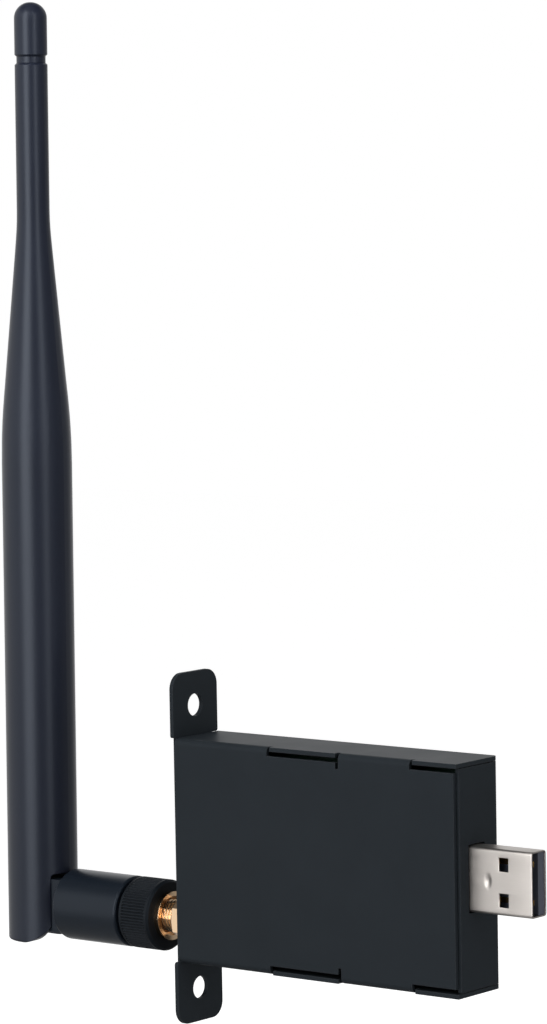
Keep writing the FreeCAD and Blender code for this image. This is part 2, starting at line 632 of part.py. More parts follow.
# Front cover: front, top and bottom folded from one sheet, slotted along both folds
def make_front_cover():
    body = new_body("front_cover")
    channel = new_sketch(body, "cover_channel", "YZ_Plane", COVER_LEFT)
    front = f"-{HALF_DEPTH}"
    outline(channel, (
        (front, f"-{HALF_HEIGHT}"),
        (HALF_DEPTH, f"-{HALF_HEIGHT}"),
        (HALF_DEPTH, f"-{HALF_HEIGHT} + sheet"),
        (f"{front} + sheet", f"-{HALF_HEIGHT} + sheet"),
        (f"{front} + sheet", f"{HALF_HEIGHT} - sheet"),
        (HALF_DEPTH, f"{HALF_HEIGHT} - sheet"),
        (HALF_DEPTH, HALF_HEIGHT),
        (front, HALF_HEIGHT),
    ))
    pad(body, "cover_sheet", channel, f"box_length - {COVER_LEFT}")

    half_depth = size["box_depth"] / 2
    half_height = size["box_height"] / 2
    sheet_now = size["sheet"]

    def outer_fold(edge, at):
        return runs_along(edge, ALONG_X) and near(at.y, -half_depth) and near(abs(at.z), half_height)

    def inner_fold(edge, at):
        inside = near(at.y, sheet_now - half_depth) and near(abs(at.z), half_height - sheet_now)
        return runs_along(edge, ALONG_X) and inside

    soften(body, "cover_folds", "Fillet", "bend_radius", outer_fold)
    soften(body, "cover_folds_inside", "Fillet", "bend_radius - sheet", inner_fold)

    # Each slot takes the whole fold away; the right one is open at the USB end
    cuts = new_sketch(body, "slot_outlines", "XZ_Plane", HALF_DEPTH)
    slot_end = "(slot_start + slot_length)"
    rim = f"({HALF_HEIGHT} + sheet)"
    floor = f"({HALF_HEIGHT} - sheet - slot_height)"
    past_end = "(box_length + sheet)"
    for side in ("", "-"):
        outline(cuts, (
            ("slot_start", side + rim),
            (slot_end, side + rim),
            (slot_end, f"{side}({floor} - relief_depth)"),
            (f"{slot_end} - relief_width", f"{side}({floor} - relief_depth)"),
            (f"{slot_end} - relief_width", side + floor),
            ("slot_start", side + floor),
        ))
    outline(cuts, (
        ("end_slot_start", rim),
        (past_end, rim),
        (past_end, f"-{rim}"),
        ("end_slot_start", f"-{rim}"),
        ("end_slot_start", f"-{floor}"),
        ("box_length - seam", f"-{floor}"),
        ("box_length - seam", floor),
        ("end_slot_start", floor),
    ))
    pocket(body, "slots", cuts, "bend_radius")

    # In the slots the top and bottom panels run straight on to the front plane
    tabs = new_sketch(body, "tab_outlines", "XZ_Plane", f"{HALF_DEPTH} - bend_radius")
    for side in ("", "-"):
        low = f"{side}({HALF_HEIGHT} - sheet)"
        high = side + HALF_HEIGHT
        rectangle(tabs, "slot_start + relief_width", f"{slot_end} - relief_width", low, high)
        rectangle(tabs, "end_slot_start + relief_width", "box_length", low, high)
    pad(body, "tabs", tabs, "bend_radius")

    far_end = size["box_length"]

    def back_corner(edge, at):
        return runs_along(edge, ALONG_Z) and near(at.y, half_depth) and near(at.x, far_end)

    soften(body, "panel_corners", "Fillet", "bend_radius", back_corner)

    seats = new_sketch(body, "standoff_seats", "XZ_Plane", f"{HALF_DEPTH} - sheet")
    for across, up in STUDS:
        circle(seats, across, up, "standoff_radius")
    pocket(body, "standoff_recesses", seats, "standoff_seat", reverse=True)


# Fasteners: countersunk screws pass the spacers and the board into standoffs on the cover
def make_fasteners():
    screws, spacers, standoffs = [], [], []
    for number, (across, up) in enumerate(STUDS, start=1):
        head = doc.addObject("Part::Cone", f"screw_head_{number}")
        head.Placement = FreeCAD.Placement(FreeCAD.Vector(), FreeCAD.Rotation(ALONG_X, 90))
        bind(head, Placement__Base__x=across, Placement__Base__y=HALF_DEPTH, Placement__Base__z=up)
        bind(head, Radius1="head_radius", Radius2=SCREW_HOLE, Height=HEAD_DEPTH)
        shank = rod(f"screw_shank_{number}", across, f"{HALF_DEPTH} - screw_length", up,
                    "screw_radius", f"screw_length - {HEAD_DEPTH} / 2")
        whole = doc.addObject("Part::MultiFuse", f"screw_whole_{number}")
        whole.Shapes = [head, shank]
        recess = []
        for name, length, height in (("long", "recess_length", "recess_width"),
                                     ("high", "recess_width", "recess_length")):
            recess.append(block(f"recess_{name}_{number}", f"{across} - {length} / 2",
                                f"{HALF_DEPTH} - recess_depth", f"{up} - {height} / 2",
                                length, "2 * recess_depth", height))
        cross = doc.addObject("Part::MultiFuse", f"recess_{number}")
        cross.Shapes = recess
        screws.append(cut(f"screw_{number}", whole, cross))

        tube = rod(f"spacer_tube_{number}", across, BOARD_BACK, up,
                   "spacer_radius", f"{BACK_INSIDE} - {BOARD_BACK}")
        core = rod(f"spacer_core_{number}", across, BOARD_BACK, up,
                   SCREW_HOLE, f"{BACK_INSIDE} - {BOARD_BACK}")
        spacers.append(cut(f"spacer_{number}", tube, core))

        foot = f"(sheet - {HALF_DEPTH} - standoff_seat)"
        pillar = rod(f"standoff_pillar_{number}", across, foot, up,
                     "standoff_radius", f"{BOARD_FACE} - {foot}")
        floor = f"({HALF_DEPTH} - screw_length - thread_spare)"
        thread = rod(f"standoff_thread_{number}", across, floor, up,
                     "screw_radius", f"{BOARD_FACE} - {floor}")
        standoffs.append(cut(f"standoff_{number}", pillar, thread))
    group("back_screws", screws)
    group("board_spacers", spacers)
    group("cover_standoffs", standoffs)


# Circuit board: straddled by the jack at one end, notched for the plug at the other
def make_board():
    body = new_body("circuit_board")
    plan = new_sketch(body, "board_outline", "XZ_Plane", f"-{BOARD_BACK}")
    notch = f"({PLUG_BACK} - plug_gap)"
    notch_half = "(plug_width / 2 + plug_gap)"
    outline(plan, (
        (BOARD_LEFT, f"-{BOARD_HALF}"),
        (BOARD_RIGHT, f"-{BOARD_HALF}"),
        (BOARD_RIGHT, f"-{notch_half}"),
        (notch, f"-{notch_half}"),
        (notch, notch_half),
        (BOARD_RIGHT, notch_half),
        (BOARD_RIGHT, BOARD_HALF),
        (BOARD_LEFT, BOARD_HALF),
    ))
    pad(body, "board", plan, "board_thickness")
    holes = new_sketch(body, "board_holes", "XZ_Plane", f"-{BOARD_FACE}")
    for across, up in STUDS:
        circle(holes, across, up, SCREW_HOLE)
    pocket(body, "board_bores", holes, "board_thickness")


def on_board(name, left, low_z, length, thickness, height):
    """A part soldered to the front face of the board."""
    return block(name, left, f"{BOARD_FACE} - {thickness}", low_z, length, thickness, height)


def make_board_parts():
    can = on_board("can_outside", SHIELD_LEFT, "-shield_width / 2",
                   "shield_length", "shield_height", "shield_width")
    room = block("can_inside", f"{SHIELD_LEFT} + shield_wall", f"{BOARD_FACE} - shield_height + shield_wall",
                 "shield_wall - shield_width / 2", "shield_length - 2 * shield_wall",
                 "shield_height", "shield_width - 2 * shield_wall")
    keep(cut("Can", can, room), "shield_can")

    # Under the can: the radio chip toward the plug, its crystal toward the jack
    radio_left = f"{SHIELD_LEFT} + shield_length - shield_wall - radio_inset - radio_side"
    keep(on_board("Radio", radio_left, "-radio_side / 2",
                  "radio_side", "radio_height", "radio_side"), "radio_chip")
    keep(on_board("Crystal", f"{SHIELD_LEFT} + shield_wall + crystal_inset", "-crystal_width / 2",
                  "crystal_length", "crystal_height", "crystal_width"), "crystal")

    # Beside it: memory toward the jack, and the power parts toward the plug
    keep(on_board("Memory", f"{SHIELD_LEFT} - part_gap - memory_length", "shield_width / 2 - memory_width",
                  "memory_length", "memory_height", "memory_width"), "memory_chip")
    keep(on_board("Regulator", PART_ROW, "shield_width / 2 - regulator_width / 2",
                  "regulator_length", "regulator_height", "regulator_width"), "voltage_regulator")
    keep(on_board("Inductor", PART_ROW, "shield_width / 4 - inductor_side / 2",
                  "inductor_side", "inductor_height", "inductor_side"), "inductor")
    chips = []
    for number in range(size["capacitors"]):
        low = f"-capacitor_pitch * {number} - capacitor_width"
        chips.append(on_board(f"Capacitor_{number + 1}", PART_ROW, low,
                              "capacitor_length", "capacitor_width", "capacitor_width"))
    group("capacitors", chips)


# USB plug: folded shell, moulded insulator and four contacts
def make_usb_shell():
    body = new_body("usb_shell")
    section = new_sketch(body, "shell_section", "YZ_Plane", PLUG_BACK)
    back = "(plug_thickness / 2 - plug_offset)"
    front = "(-plug_thickness / 2 - plug_offset)"
    rectangle(section, front, back, "-plug_width / 2", "plug_width / 2")
    pad(body, "shell_block", section, f"{PLUG_TIP} - {PLUG_BACK}")

    def corner(edge, at):
        return runs_along(edge, ALONG_X)

    soften(body, "shell_corners", "Fillet", "plug_corner", corner)

    hollow = new_sketch(body, "shell_hollow", "YZ_Plane", PLUG_BACK)
    rectangle(hollow, f"{front} + plug_wall", f"{back} - plug_wall",
              "plug_wall - plug_width / 2", "plug_width / 2 - plug_wall")
    pocket(body, "shell_hollow_cut", hollow, reverse=True)
    inner_half = size["plug_width"] / 2 - size["plug_wall"]

    def inner_corner(edge, at):
        return runs_along(edge, ALONG_X) and near(abs(at.z), inner_half)

    soften(body, "shell_corners_inside", "Fillet", "plug_corner - plug_wall", inner_corner)

    windows = new_sketch(body, "shell_windows", "XZ_Plane")
    near_end = f"({PLUG_TIP} - window_tip)"
    for side in ("", "-"):
        rectangle(windows, f"{near_end} - window_length", near_end,
                  f"{side}window_spread / 2", f"{side}(window_spread / 2 + window_width)")
    pocket(body, "shell_windows_cut", windows, side="Symmetric")

    # A punch with a barrel-shaped nose leaves the dimple; its axis stands in front of the shell
    nose = "((dimple_width ^ 2 / 4 + dimple_depth ^ 2) / (2 * dimple_depth))"
    dimple = new_sketch(body, "shell_dimple", "XZ_Plane", f"{nose} - dimple_depth - {front}")
    bind(dimple, AttachmentOffset__Base__x=f"{PLUG_TIP} - dimple_tip")
    outline(dimple, (
        ("0", "-dimple_length / 2"),
        (f"{nose} - dimple_depth", "-dimple_length / 2"),
        (nose, "-dimple_length / 6"),
        (nose, "dimple_length / 6"),
        (f"{nose} - dimple_depth", "dimple_length / 2"),
        ("0", "dimple_length / 2"),
    ))
    bore(body, "shell_dimple_cut", dimple)

    # The sheet's two edges meet along the back face
    joint = new_sketch(body, "shell_joint", "XZ_Plane", f"-({back} - plug_wall)")
    rectangle(joint, PLUG_BACK, PLUG_TIP, "-shell_joint / 2", "shell_joint / 2")
    pocket(body, "shell_joint_cut", joint, "plug_wall")

    # Solder wings that lie on the board beside its notch
    wings = new_sketch(body, "shell_wings", "XZ_Plane", f"-{BOARD_FACE}")
    for side in ("", "-"):
        rectangle(wings, f"{PLUG_BACK} + plug_wall", f"{PLUG_BACK} + plug_wall + wing_length",
                  f"{side}(plug_width / 2 - plug_wall)", f"{side}(plug_width / 2 + wing_reach)")
    pad(body, "shell_wings_pad", wings, "plug_wall")


def make_usb_inside():
    contacts = (
        ("power", "-power_contact", "power_tip"),
        ("data_minus", "-data_contact", "data_tip"),
        ("data_plus", "data_contact", "data_tip"),
        ("ground", "power_contact", "power_tip"),
    )
    strips = []
    face = f"({TONGUE_FRONT} - contact_proud)"
    for name, up, tip in contacts:
        low = f"{up} - contact_width / 2"
        blade = block(f"blade_{name}", CONTACT_BEND, face, low, f"{PLUG_TIP} - {tip} - {CONTACT_BEND}",
                      "contact_thickness", "contact_width")
        leg = block(f"leg_{name}", CONTACT_BEND, face, low, "contact_thickness",
                    f"{BOARD_FACE} - {face}", "contact_width")
        tail = block(f"tail_{name}", f"{CONTACT_BEND} - tail_length",
                     f"{BOARD_FACE} - contact_thickness", low,
                     "tail_length + contact_thickness", "contact_thickness", "contact_width")
        strip = doc.addObject("Part::MultiFuse", f"Contact_{name}")
        strip.Shapes = [blade, leg, tail]
        strip.Refine = True
        keep(strip, f"usb_contact_{name}")
        strips.append(strip)

    body = doc.addObject("PartDesign::Body", "Insulator_block")
    side = new_sketch(body, "insulator_side", "XY_Plane", "plug_wall - plug_width / 2")
    inner_front = "(plug_wall - plug_thickness / 2 - plug_offset)"
    outline(side, (
        (PLUG_BACK, inner_front),
        ("box_length + insulator_reach", inner_front),
        ("box_length + insulator_reach", TONGUE_FRONT),
        (f"{PLUG_TIP} - tongue_set", TONGUE_FRONT),
        (f"{PLUG_TIP} - tongue_set", TONGUE_BACK),
        (PLUG_BACK, TONGUE_BACK),
    ))
    pad(body, "insulator_solid", side, "plug_width - 2 * plug_wall")
    inner_half = size["plug_width"] / 2 - size["plug_wall"]
    thick_back = size["plug_thickness"] / 2 - size["plug_wall"] - size["plug_offset"]
    thick_front = size["plug_wall"] - size["plug_thickness"] / 2 - size["plug_offset"]

    def long_corner(edge, at):
        outer = near(at.y, thick_back) or near(at.y, thick_front)
        return runs_along(edge, ALONG_X) and near(abs(at.z), inner_half) and outer

    soften(body, "insulator_corners", "Fillet", "plug_corner - plug_wall", long_corner)

    moulded = doc.addObject("Part::MultiFuse", "Contacts_together")
    moulded.Shapes = strips
    keep(cut("Insulator", body, moulded), "usb_insulator")


# Antenna jack: threaded barrel with a square flange inside the end plate
def make_jack():
    body = new_body("jack_body")
    foot = "(-sheet - flange_thickness)"
    flange = new_sketch(body, "jack_flange", "XY_Plane", foot)
    rectangle(flange, "-flange_side / 2", "flange_side / 2", "-flange_side / 2", "flange_side / 2")
    pad(body, "flange", flange, "flange_thickness")
    barrel = new_sketch(body, "barrel_profile", "XZ_Plane")
    lead = "pin_radius"
    outline(barrel, (
        ("0", foot),
        ("thread_radius", foot),
        ("thread_radius", f"jack_reach - {lead}"),
        (f"thread_radius - {lead}", "jack_reach"),
        ("0", "jack_reach"),
    ))
    turn(body, "barrel", barrel)
    inside = new_sketch(body, "barrel_bore", "XZ_Plane")
    outline(inside, (
        ("0", foot),
        ("jack_core", foot),
        ("jack_core", "jack_reach - socket_depth"),
        ("socket_radius", "jack_reach - socket_depth"),
        ("socket_radius", "jack_reach"),
        ("0", "jack_reach"),
    ))
    bore(body, "barrel_bore_cut", inside)
    legs = new_sketch(body, "leg_outlines", "XY_Plane", foot)
    for side in ("", "-"):
        spread = f"{side}leg_spread"
        rectangle(legs, f"{spread} - leg_width / 2", f"{spread} + leg_width / 2",
                  f"{BOARD_FACE} - leg_width", BOARD_FACE)
        rectangle(legs, f"{spread} - leg_width / 2", f"{spread} + leg_width / 2",
                  BOARD_BACK, f"{BOARD_BACK} + leg_width")
    pad(body, "legs", legs, "leg_length", reverse=True)
    on_jack(body)

    on_jack(turned_body("jack_insulator", (
        ("pin_radius", foot),
        ("jack_core", foot),
        ("jack_core", "jack_reach - socket_depth"),
        ("pin_radius", "jack_reach - socket_depth"),
    )))
    on_jack(turned_body("jack_pin", (
        ("0", f"{foot} - pin_tail"),
        ("pin_radius", f"{foot} - pin_tail"),
        ("pin_radius", "jack_reach - pin_set - pin_radius / 2"),
        ("pin_radius / 2", "jack_reach - pin_set"),
        ("0", "jack_reach - pin_set"),
    )))


def around(body, name, feature, sketch, count):
    """Repeat a cut evenly round the sketch's own normal."""
    before = body.Shape.Volume
    pattern = body.newObject("PartDesign::PolarPattern", name)
    pattern.Originals = [feature]
    pattern.Axis = (sketch, ["N_Axis"])
    pattern.Angle = 360
    bind(pattern, Occurrences=count)
    body.Tip = pattern
    cut_is_real(body, before, name)


def make_jack_nut():
    washer = turned_body("lock_washer", (
        ("thread_radius + jack_hole_gap", "0"),
        ("washer_radius", "0"),
        ("washer_radius", "washer_thickness"),
        ("thread_radius + jack_hole_gap", "washer_thickness"),
    ))
    notch = new_sketch(washer, "washer_notch", "XY_Plane")
    depth = "(washer_radius - thread_radius) * 0.4"
    outline(notch, (
        (f"washer_radius - {depth}", "-washer_thickness / 3"),
        ("washer_radius + washer_thickness", "-washer_thickness"),
        ("washer_radius + washer_thickness", "washer_thickness"),
        (f"washer_radius - {depth}", "washer_thickness / 3"),
    ))
    first = pocket(washer, "washer_notch_cut", notch, "washer_thickness", reverse=True)
    around(washer, "washer_notches", first, notch, "washer_teeth")
    on_jack(washer)

    nut = new_body("jack_nut")
    hexagon = new_sketch(nut, "hexagon", "XY_Plane", "washer_thickness")
    corner = "(hex_width / 3 ^ 0.5)"
    half = "(hex_width / 2)"
    outline(hexagon, (
        (corner, "0"),
        (f"{corner} / 2", half),
        (f"-{corner} / 2", half),
        (f"-{corner}", "0"),
        (f"-{corner} / 2", f"-{half}"),
        (f"{corner} / 2", f"-{half}"),
    ))
    pad(nut, "nut_block", hexagon, "hex_thickness")
    hole = new_sketch(nut, "nut_hole", "XY_Plane", "washer_thickness")
    circle(hole, "0", "0", "thread_radius")
    pocket(nut, "nut_hole_cut", hole, reverse=True)
    # The outer face is turned to a cone, so that the corners are bevelled
    bevel = new_sketch(nut, "nut_bevel", "XZ_Plane")
    top = "(washer_thickness + hex_thickness)"
    outline(bevel, (
        (half, top),
        (f"{half} + hex_thickness / 2", f"{top} - hex_thickness / 4"),
        (f"{half} + hex_thickness / 2", f"{top} + hex_thickness"),
        (half, f"{top} + hex_thickness"),
    ))
    bore(nut, "nut_bevel_cut", bevel)
    on_jack(nut)


# Coupling nut: brass insert pressed into a knurled black sleeve
def make_coupling_nut():
    groove_low = f"({RING_START} - turn_gap)"
    groove_high = f"({RING_START} + ring_section + turn_gap)"
    throat = "(neck_radius + turn_gap)"
    groove = "(neck_radius + ring_proud + turn_gap)"
    on_jack(turned_body("coupling_insert", (
        ("mouth_radius", "nut_start - insert_proud"),
        ("insert_radius", "nut_start - insert_proud"),
        ("insert_radius", NUT_END),
        (throat, NUT_END),
        (throat, groove_high),
        (groove, groove_high),
        (groove, groove_low),
        (throat, groove_low),
        (throat, FLANGE_START),
        ("thread_radius + turn_gap", FLANGE_START),
        ("thread_radius + turn_gap", "nut_start - insert_proud + mouth_depth"),
        ("mouth_radius", "nut_start - insert_proud + mouth_depth"),
    )))

    sleeve = turned_body("coupling_sleeve", (
        ("insert_radius", "nut_start"),
        ("nut_radius - nut_chamfer", "nut_start"),
        ("nut_radius", "nut_start + nut_chamfer"),
        ("nut_radius", f"{NUT_END} - nut_chamfer"),
        ("nut_radius - nut_chamfer", NUT_END),
        ("insert_radius", NUT_END),
    ))
    notch = new_sketch(sleeve, "knurl_outline", "XY_Plane", "nut_start + knurl_margin")
    half = "(nut_radius * 5 / knurl_count)"
    outline(notch, (
        ("nut_radius - knurl_depth", "0"),
        ("nut_radius + knurl_depth", f"-{half}"),
        ("nut_radius + knurl_depth", half),
    ))
    first = pocket(sleeve, "knurl_groove", notch, "nut_length - 2 * knurl_margin", reverse=True)
    around(sleeve, "knurl", first, notch, "knurl_count")
    on_jack(sleeve)


# Antenna plug: the piece that the coupling nut draws into the jack, and that the knuckle turns on
def make_antenna_plug():
    neck_groove = "(neck_radius - ring_depth)"
    ring_end = f"({RING_START} + ring_section)"
    shoulder_end = f"({PLUG_FACE} + shoulder_length)"
    on_jack(turned_body("antenna_plug_body", (
        ("plug_core", PLUG_NOSE),
        ("socket_radius - turn_gap", PLUG_NOSE),
        ("socket_radius - turn_gap", PLUG_FACE),
        ("shoulder_radius", PLUG_FACE),
        ("shoulder_radius", shoulder_end),
        ("neck_radius", shoulder_end),
        ("neck_radius", RING_START),
        (neck_groove, RING_START),
        (neck_groove, ring_end),
        ("neck_radius", ring_end),
        ("neck_radius", COLLAR_START),
        ("collar_radius", COLLAR_START),
        ("collar_radius", COLLAR_END),
        ("cable_radius", COLLAR_END),
        ("cable_radius", CABLE_START),
        ("plug_core", CABLE_START),
    )))
    on_jack(turned_body("plug_insulator", (
        ("contact_radius", PLUG_NOSE),
        ("plug_core", PLUG_NOSE),
        ("plug_core", CABLE_START),
        ("contact_radius", CABLE_START),
    )))
    contact_bore = "(pin_radius + turn_gap)"
    contact_start = f"({PLUG_NOSE} + pin_set)"
    on_jack(turned_body("plug_contact", (
        (contact_bore, contact_start),
        ("contact_radius", contact_start),
        ("contact_radius", CABLE_START),
        ("0", CABLE_START),
        ("0", "jack_reach + pin_set"),
        (contact_bore, "jack_reach + pin_set"),
    )))
    ring = new_body("snap_ring")
    flat = new_sketch(ring, "ring_outline", "XY_Plane", RING_START)
    circle(flat, "0", "0", "neck_radius + ring_proud")
    circle(flat, "0", "0", neck_groove)
    pad(ring, "ring_round", flat, "ring_section")
    gap = new_sketch(ring, "ring_gap", "XY_Plane", RING_START)
    rectangle(gap, "0", "2 * neck_radius", "-ring_opening / 2", "ring_opening / 2")
    pocket(ring, "ring_gap_cut", gap, "ring_section", reverse=True)
    on_jack(ring)
    on_jack(turned_body("feed_cable", (
        ("0", CABLE_START),
        ("cable_radius", CABLE_START),
        ("cable_radius", "hinge_reach - shoulder_reach"),
        ("0", "hinge_reach - shoulder_reach"),
    )))


# Knuckle: swivels on the plug's neck and carries the tongue of the hinge
def make_knuckle():
    shoulder = "(hinge_reach - shoulder_reach)"
    body = turned_body("knuckle", (
        ("0", KNUCKLE_START),
        ("knuckle_radius", KNUCKLE_START),
        ("knuckle_radius", shoulder),
        ("0", shoulder),
    ))

    def rim(edge, at):
        return edge.Closed

    soften(body, "knuckle_rims", "Fillet", "knuckle_edge", rim)
    plate = new_sketch(body, "tongue_plate", "XZ_Plane")
    end = "(hinge_reach + tongue_radius)"
    rectangle(plate, "-tongue_radius", "tongue_radius", f"{shoulder} - 2 * knuckle_edge", end)
    pad(body, "tongue", plate, "tongue_width", side="Symmetric")
    rounding = new_sketch(body, "tongue_end", "XZ_Plane")
    beyond_arc(rounding, "hinge_reach", "tongue_radius", 1)
    pocket(body, "tongue_round", rounding, side="Symmetric")

    bosses = new_sketch(body, "trunnion_outline", "XZ_Plane")
    circle(bosses, "0", "hinge_reach", "trunnion_radius")
    pad(body, "trunnions", bosses, "tongue_width + 2 * trunnion_length", side="Symmetric")

    inside = new_sketch(body, "knuckle_bore", "XZ_Plane")
    bearing = "(neck_radius + turn_gap)"
    recess = "(collar_radius + turn_gap)"
    passage = "(cable_radius + cable_slack)"
    outline(inside, (
        ("0", KNUCKLE_START),
        (bearing, KNUCKLE_START),
        (bearing, f"{COLLAR_START} - turn_gap"),
        (recess, f"{COLLAR_START} - turn_gap"),
        (recess, f"{COLLAR_END} + turn_gap"),
        (passage, f"{COLLAR_END} + turn_gap"),
        (passage, "hinge_reach"),
        ("0", "hinge_reach"),
    ))
    bore(body, "knuckle_bore_cut", inside)
    # The cable bends here, so the tongue is open toward the end and the side the whip folds to
    channel = new_sketch(body, "cable_channel", "XZ_Plane")
    beyond = "(hinge_reach + 2 * tongue_radius)"
    rectangle(channel, f"-{passage}", "2 * tongue_radius", "hinge_reach - channel_set", beyond)
    pocket(body, "cable_channel_cut", channel, "channel_width", side="Symmetric")
    on_jack(body)


# Whip: one tapered moulding, forked at its foot, hollow for the radiator
def sheath_profile(sketch):
    """Draw half the sheath: a straight foot, a rounded taper and a straight shaft."""
    wide, thin = size["whip_radius"], size["shaft_radius"]
    low, high = size["taper_start"], size["taper_end"]
    foot_round, head_round = size["taper_foot_round"], size["taper_head_round"]
    top = size["whip_top"] - size["cap_length"] - size["neck_length"]
    slope = math.atan((wide - thin) / (high - low))
    foot_reach = foot_round * math.tan(slope / 2)
    head_reach = head_round * math.tan(slope / 2)
    along = FreeCAD.Vector(-math.sin(slope), math.cos(slope), 0)
    foot_corner = FreeCAD.Vector(wide, low, 0)
    head_corner = FreeCAD.Vector(thin, high, 0)
    spots = [
        FreeCAD.Vector(0, -size["fork_end"], 0),
        FreeCAD.Vector(wide, -size["fork_end"], 0),
        foot_corner - FreeCAD.Vector(0, foot_reach, 0),
        foot_corner + along * foot_reach,
        head_corner - along * head_reach,
        head_corner + FreeCAD.Vector(0, head_reach, 0),
        FreeCAD.Vector(thin, top, 0),
        FreeCAD.Vector(0, top, 0),
    ]
    foot_centre = FreeCAD.Vector(wide - foot_round, low - foot_reach, 0)
    head_centre = FreeCAD.Vector(thin + head_round, high + head_reach, 0)
    foot_circle = Part.Circle(foot_centre, FreeCAD.Vector(0, 0, 1), foot_round)
    head_circle = Part.Circle(head_centre, FreeCAD.Vector(0, 0, 1), head_round)
    half_turn = math.pi
    base = sketch.addGeometry(Part.LineSegment(spots[0], spots[1]), False)
    foot = sketch.addGeometry(Part.LineSegment(spots[1], spots[2]), False)
    foot_arc = sketch.addGeometry(Part.ArcOfCircle(foot_circle, 0, slope), False)
    taper = sketch.addGeometry(Part.LineSegment(spots[3], spots[4]), False)
    head_arc = sketch.addGeometry(Part.ArcOfCircle(head_circle, half_turn, half_turn + slope), False)
    shaft = sketch.addGeometry(Part.LineSegment(spots[5], spots[6]), False)
    top_line = sketch.addGeometry(Part.LineSegment(spots[6], spots[7]), False)
    axis = sketch.addGeometry(Part.LineSegment(spots[7], spots[0]), False)
    corners = [sketch.addGeometry(Part.Point(corner), True) for corner in (foot_corner, head_corner)]
    join(sketch, (
        (base, "end", foot, "start", "Coincident"),
        (foot, "end", foot_arc, "start", "Tangent"),
        (foot_arc, "end", taper, "start", "Tangent"),
        (taper, "end", head_arc, "end", "Tangent"),
        (head_arc, "start", shaft, "start", "Tangent"),
        (shaft, "end", top_line, "start", "Coincident"),
        (top_line, "end", axis, "start", "Coincident"),
        (axis, "end", base, "start", "Coincident"),
    ))
    pin(sketch, base, 1, "0", "-fork_end")
    pin(sketch, foot, 1, "whip_radius", "-fork_end")
    pin(sketch, top_line, 1, "shaft_radius", SHEATH_TOP)
    pin(sketch, axis, 1, "0", SHEATH_TOP)
    pin(sketch, corners[0], 1, "whip_radius", "taper_start")
    pin(sketch, corners[1], 1, "shaft_radius", "taper_end")
    for corner in corners:
        sketch.addConstraint(Sketcher.Constraint("PointOnObject", corner, 1, taper))
    for line in (foot, shaft):
        sketch.addConstraint(Sketcher.Constraint("Vertical", line))
    for arc, radius in ((foot_arc, "taper_foot_round"), (head_arc, "taper_head_round")):
        now = foot_round if arc == foot_arc else head_round
        index = sketch.addConstraint(Sketcher.Constraint("Radius", arc, now))
        sketch.setExpression(f"Constraints[{index}]", bound(radius))


def make_whip_sheath():
    body = new_body("whip_sheath")
    profile = new_sketch(body, "sheath_profile", "XZ_Plane")
    sheath_profile(profile)
    turn(body, "sheath_turned", profile)
    top_now = size["whip_top"] - size["cap_length"] - size["neck_length"]

    def top_rim(edge, at):
        return edge.Closed and near(at.z, top_now)

    def foot_rim(edge, at):
        return edge.Closed and near(at.z, -size["fork_end"])

    soften(body, "sheath_bevel", "Chamfer", "cap_bevel", top_rim)
    soften(body, "foot_edge", "Fillet", "fork_edge", foot_rim)

    fork_half = "(tongue_width / 2 + side_gap)"
    slot = new_sketch(body, "fork_slot", "YZ_Plane")
    rectangle(slot, f"-{fork_half}", fork_half, "-2 * fork_end", "fork_depth")
    pocket(body, "fork_slot_cut", slot, side="Symmetric")
    half_now = size["tongue_width"] / 2 + size["side_gap"]

    def floor_corner(edge, at):
        return runs_along(edge, ALONG_X) and near(abs(at.y), half_now) and near(at.z, size["fork_depth"])

    soften(body, "floor_corners", "Fillet", "floor_corner", floor_corner)
    # The corner that swings past the knuckle's shoulder is rounded, the other is left square
    rounding = new_sketch(body, "fork_corner", "XZ_Plane")
    beyond_corner(rounding, "fork_corner - fork_end", "fork_corner")
    pocket(body, "fork_round", rounding, side="Symmetric")

    sockets = new_sketch(body, "trunnion_sockets", "XZ_Plane")
    circle(sockets, "0", "0", "trunnion_radius + turn_gap")
    pocket(body, "trunnion_sockets_cut", sockets,
           "tongue_width + 2 * trunnion_length + 2 * side_gap", side="Symmetric")

    cavity = new_sketch(body, "sheath_cavity", "XZ_Plane")
    wide = "(whip_radius - whip_wall)"
    outline(cavity, (
        ("0", "fork_depth - whip_wall"),
        ("cable_radius", "fork_depth - whip_wall"),
        ("cable_radius", CAVITY_START),
        (wide, CAVITY_START),
        (wide, "taper_start"),
        (SHAFT_BORE, "taper_end"),
        (SHAFT_BORE, SHEATH_TOP),
        ("0", SHEATH_TOP),
    ))
    bore(body, "sheath_cavity_cut", cavity)
    on_whip(body)

    cap = turned_body("tip_cap", (
        ("0", f"{SHEATH_TOP} - cap_stem"),
        (f"{SHAFT_BORE} - stem_gap", f"{SHEATH_TOP} - cap_stem"),
        (f"{SHAFT_BORE} - stem_gap", SHEATH_TOP),
        ("groove_radius", SHEATH_TOP),
        ("groove_radius", f"{CAP_START} - cap_bevel"),
        ("shaft_radius", CAP_START),
        ("shaft_radius", "whip_top"),
        ("0", "whip_top"),
    ))

    def tip_rim(edge, at):
        return edge.Closed and near(at.z, size["whip_top"])

    soften(cap, "tip_round", "Fillet", "shaft_radius * 0.98", tip_rim)
    on_whip(cap)


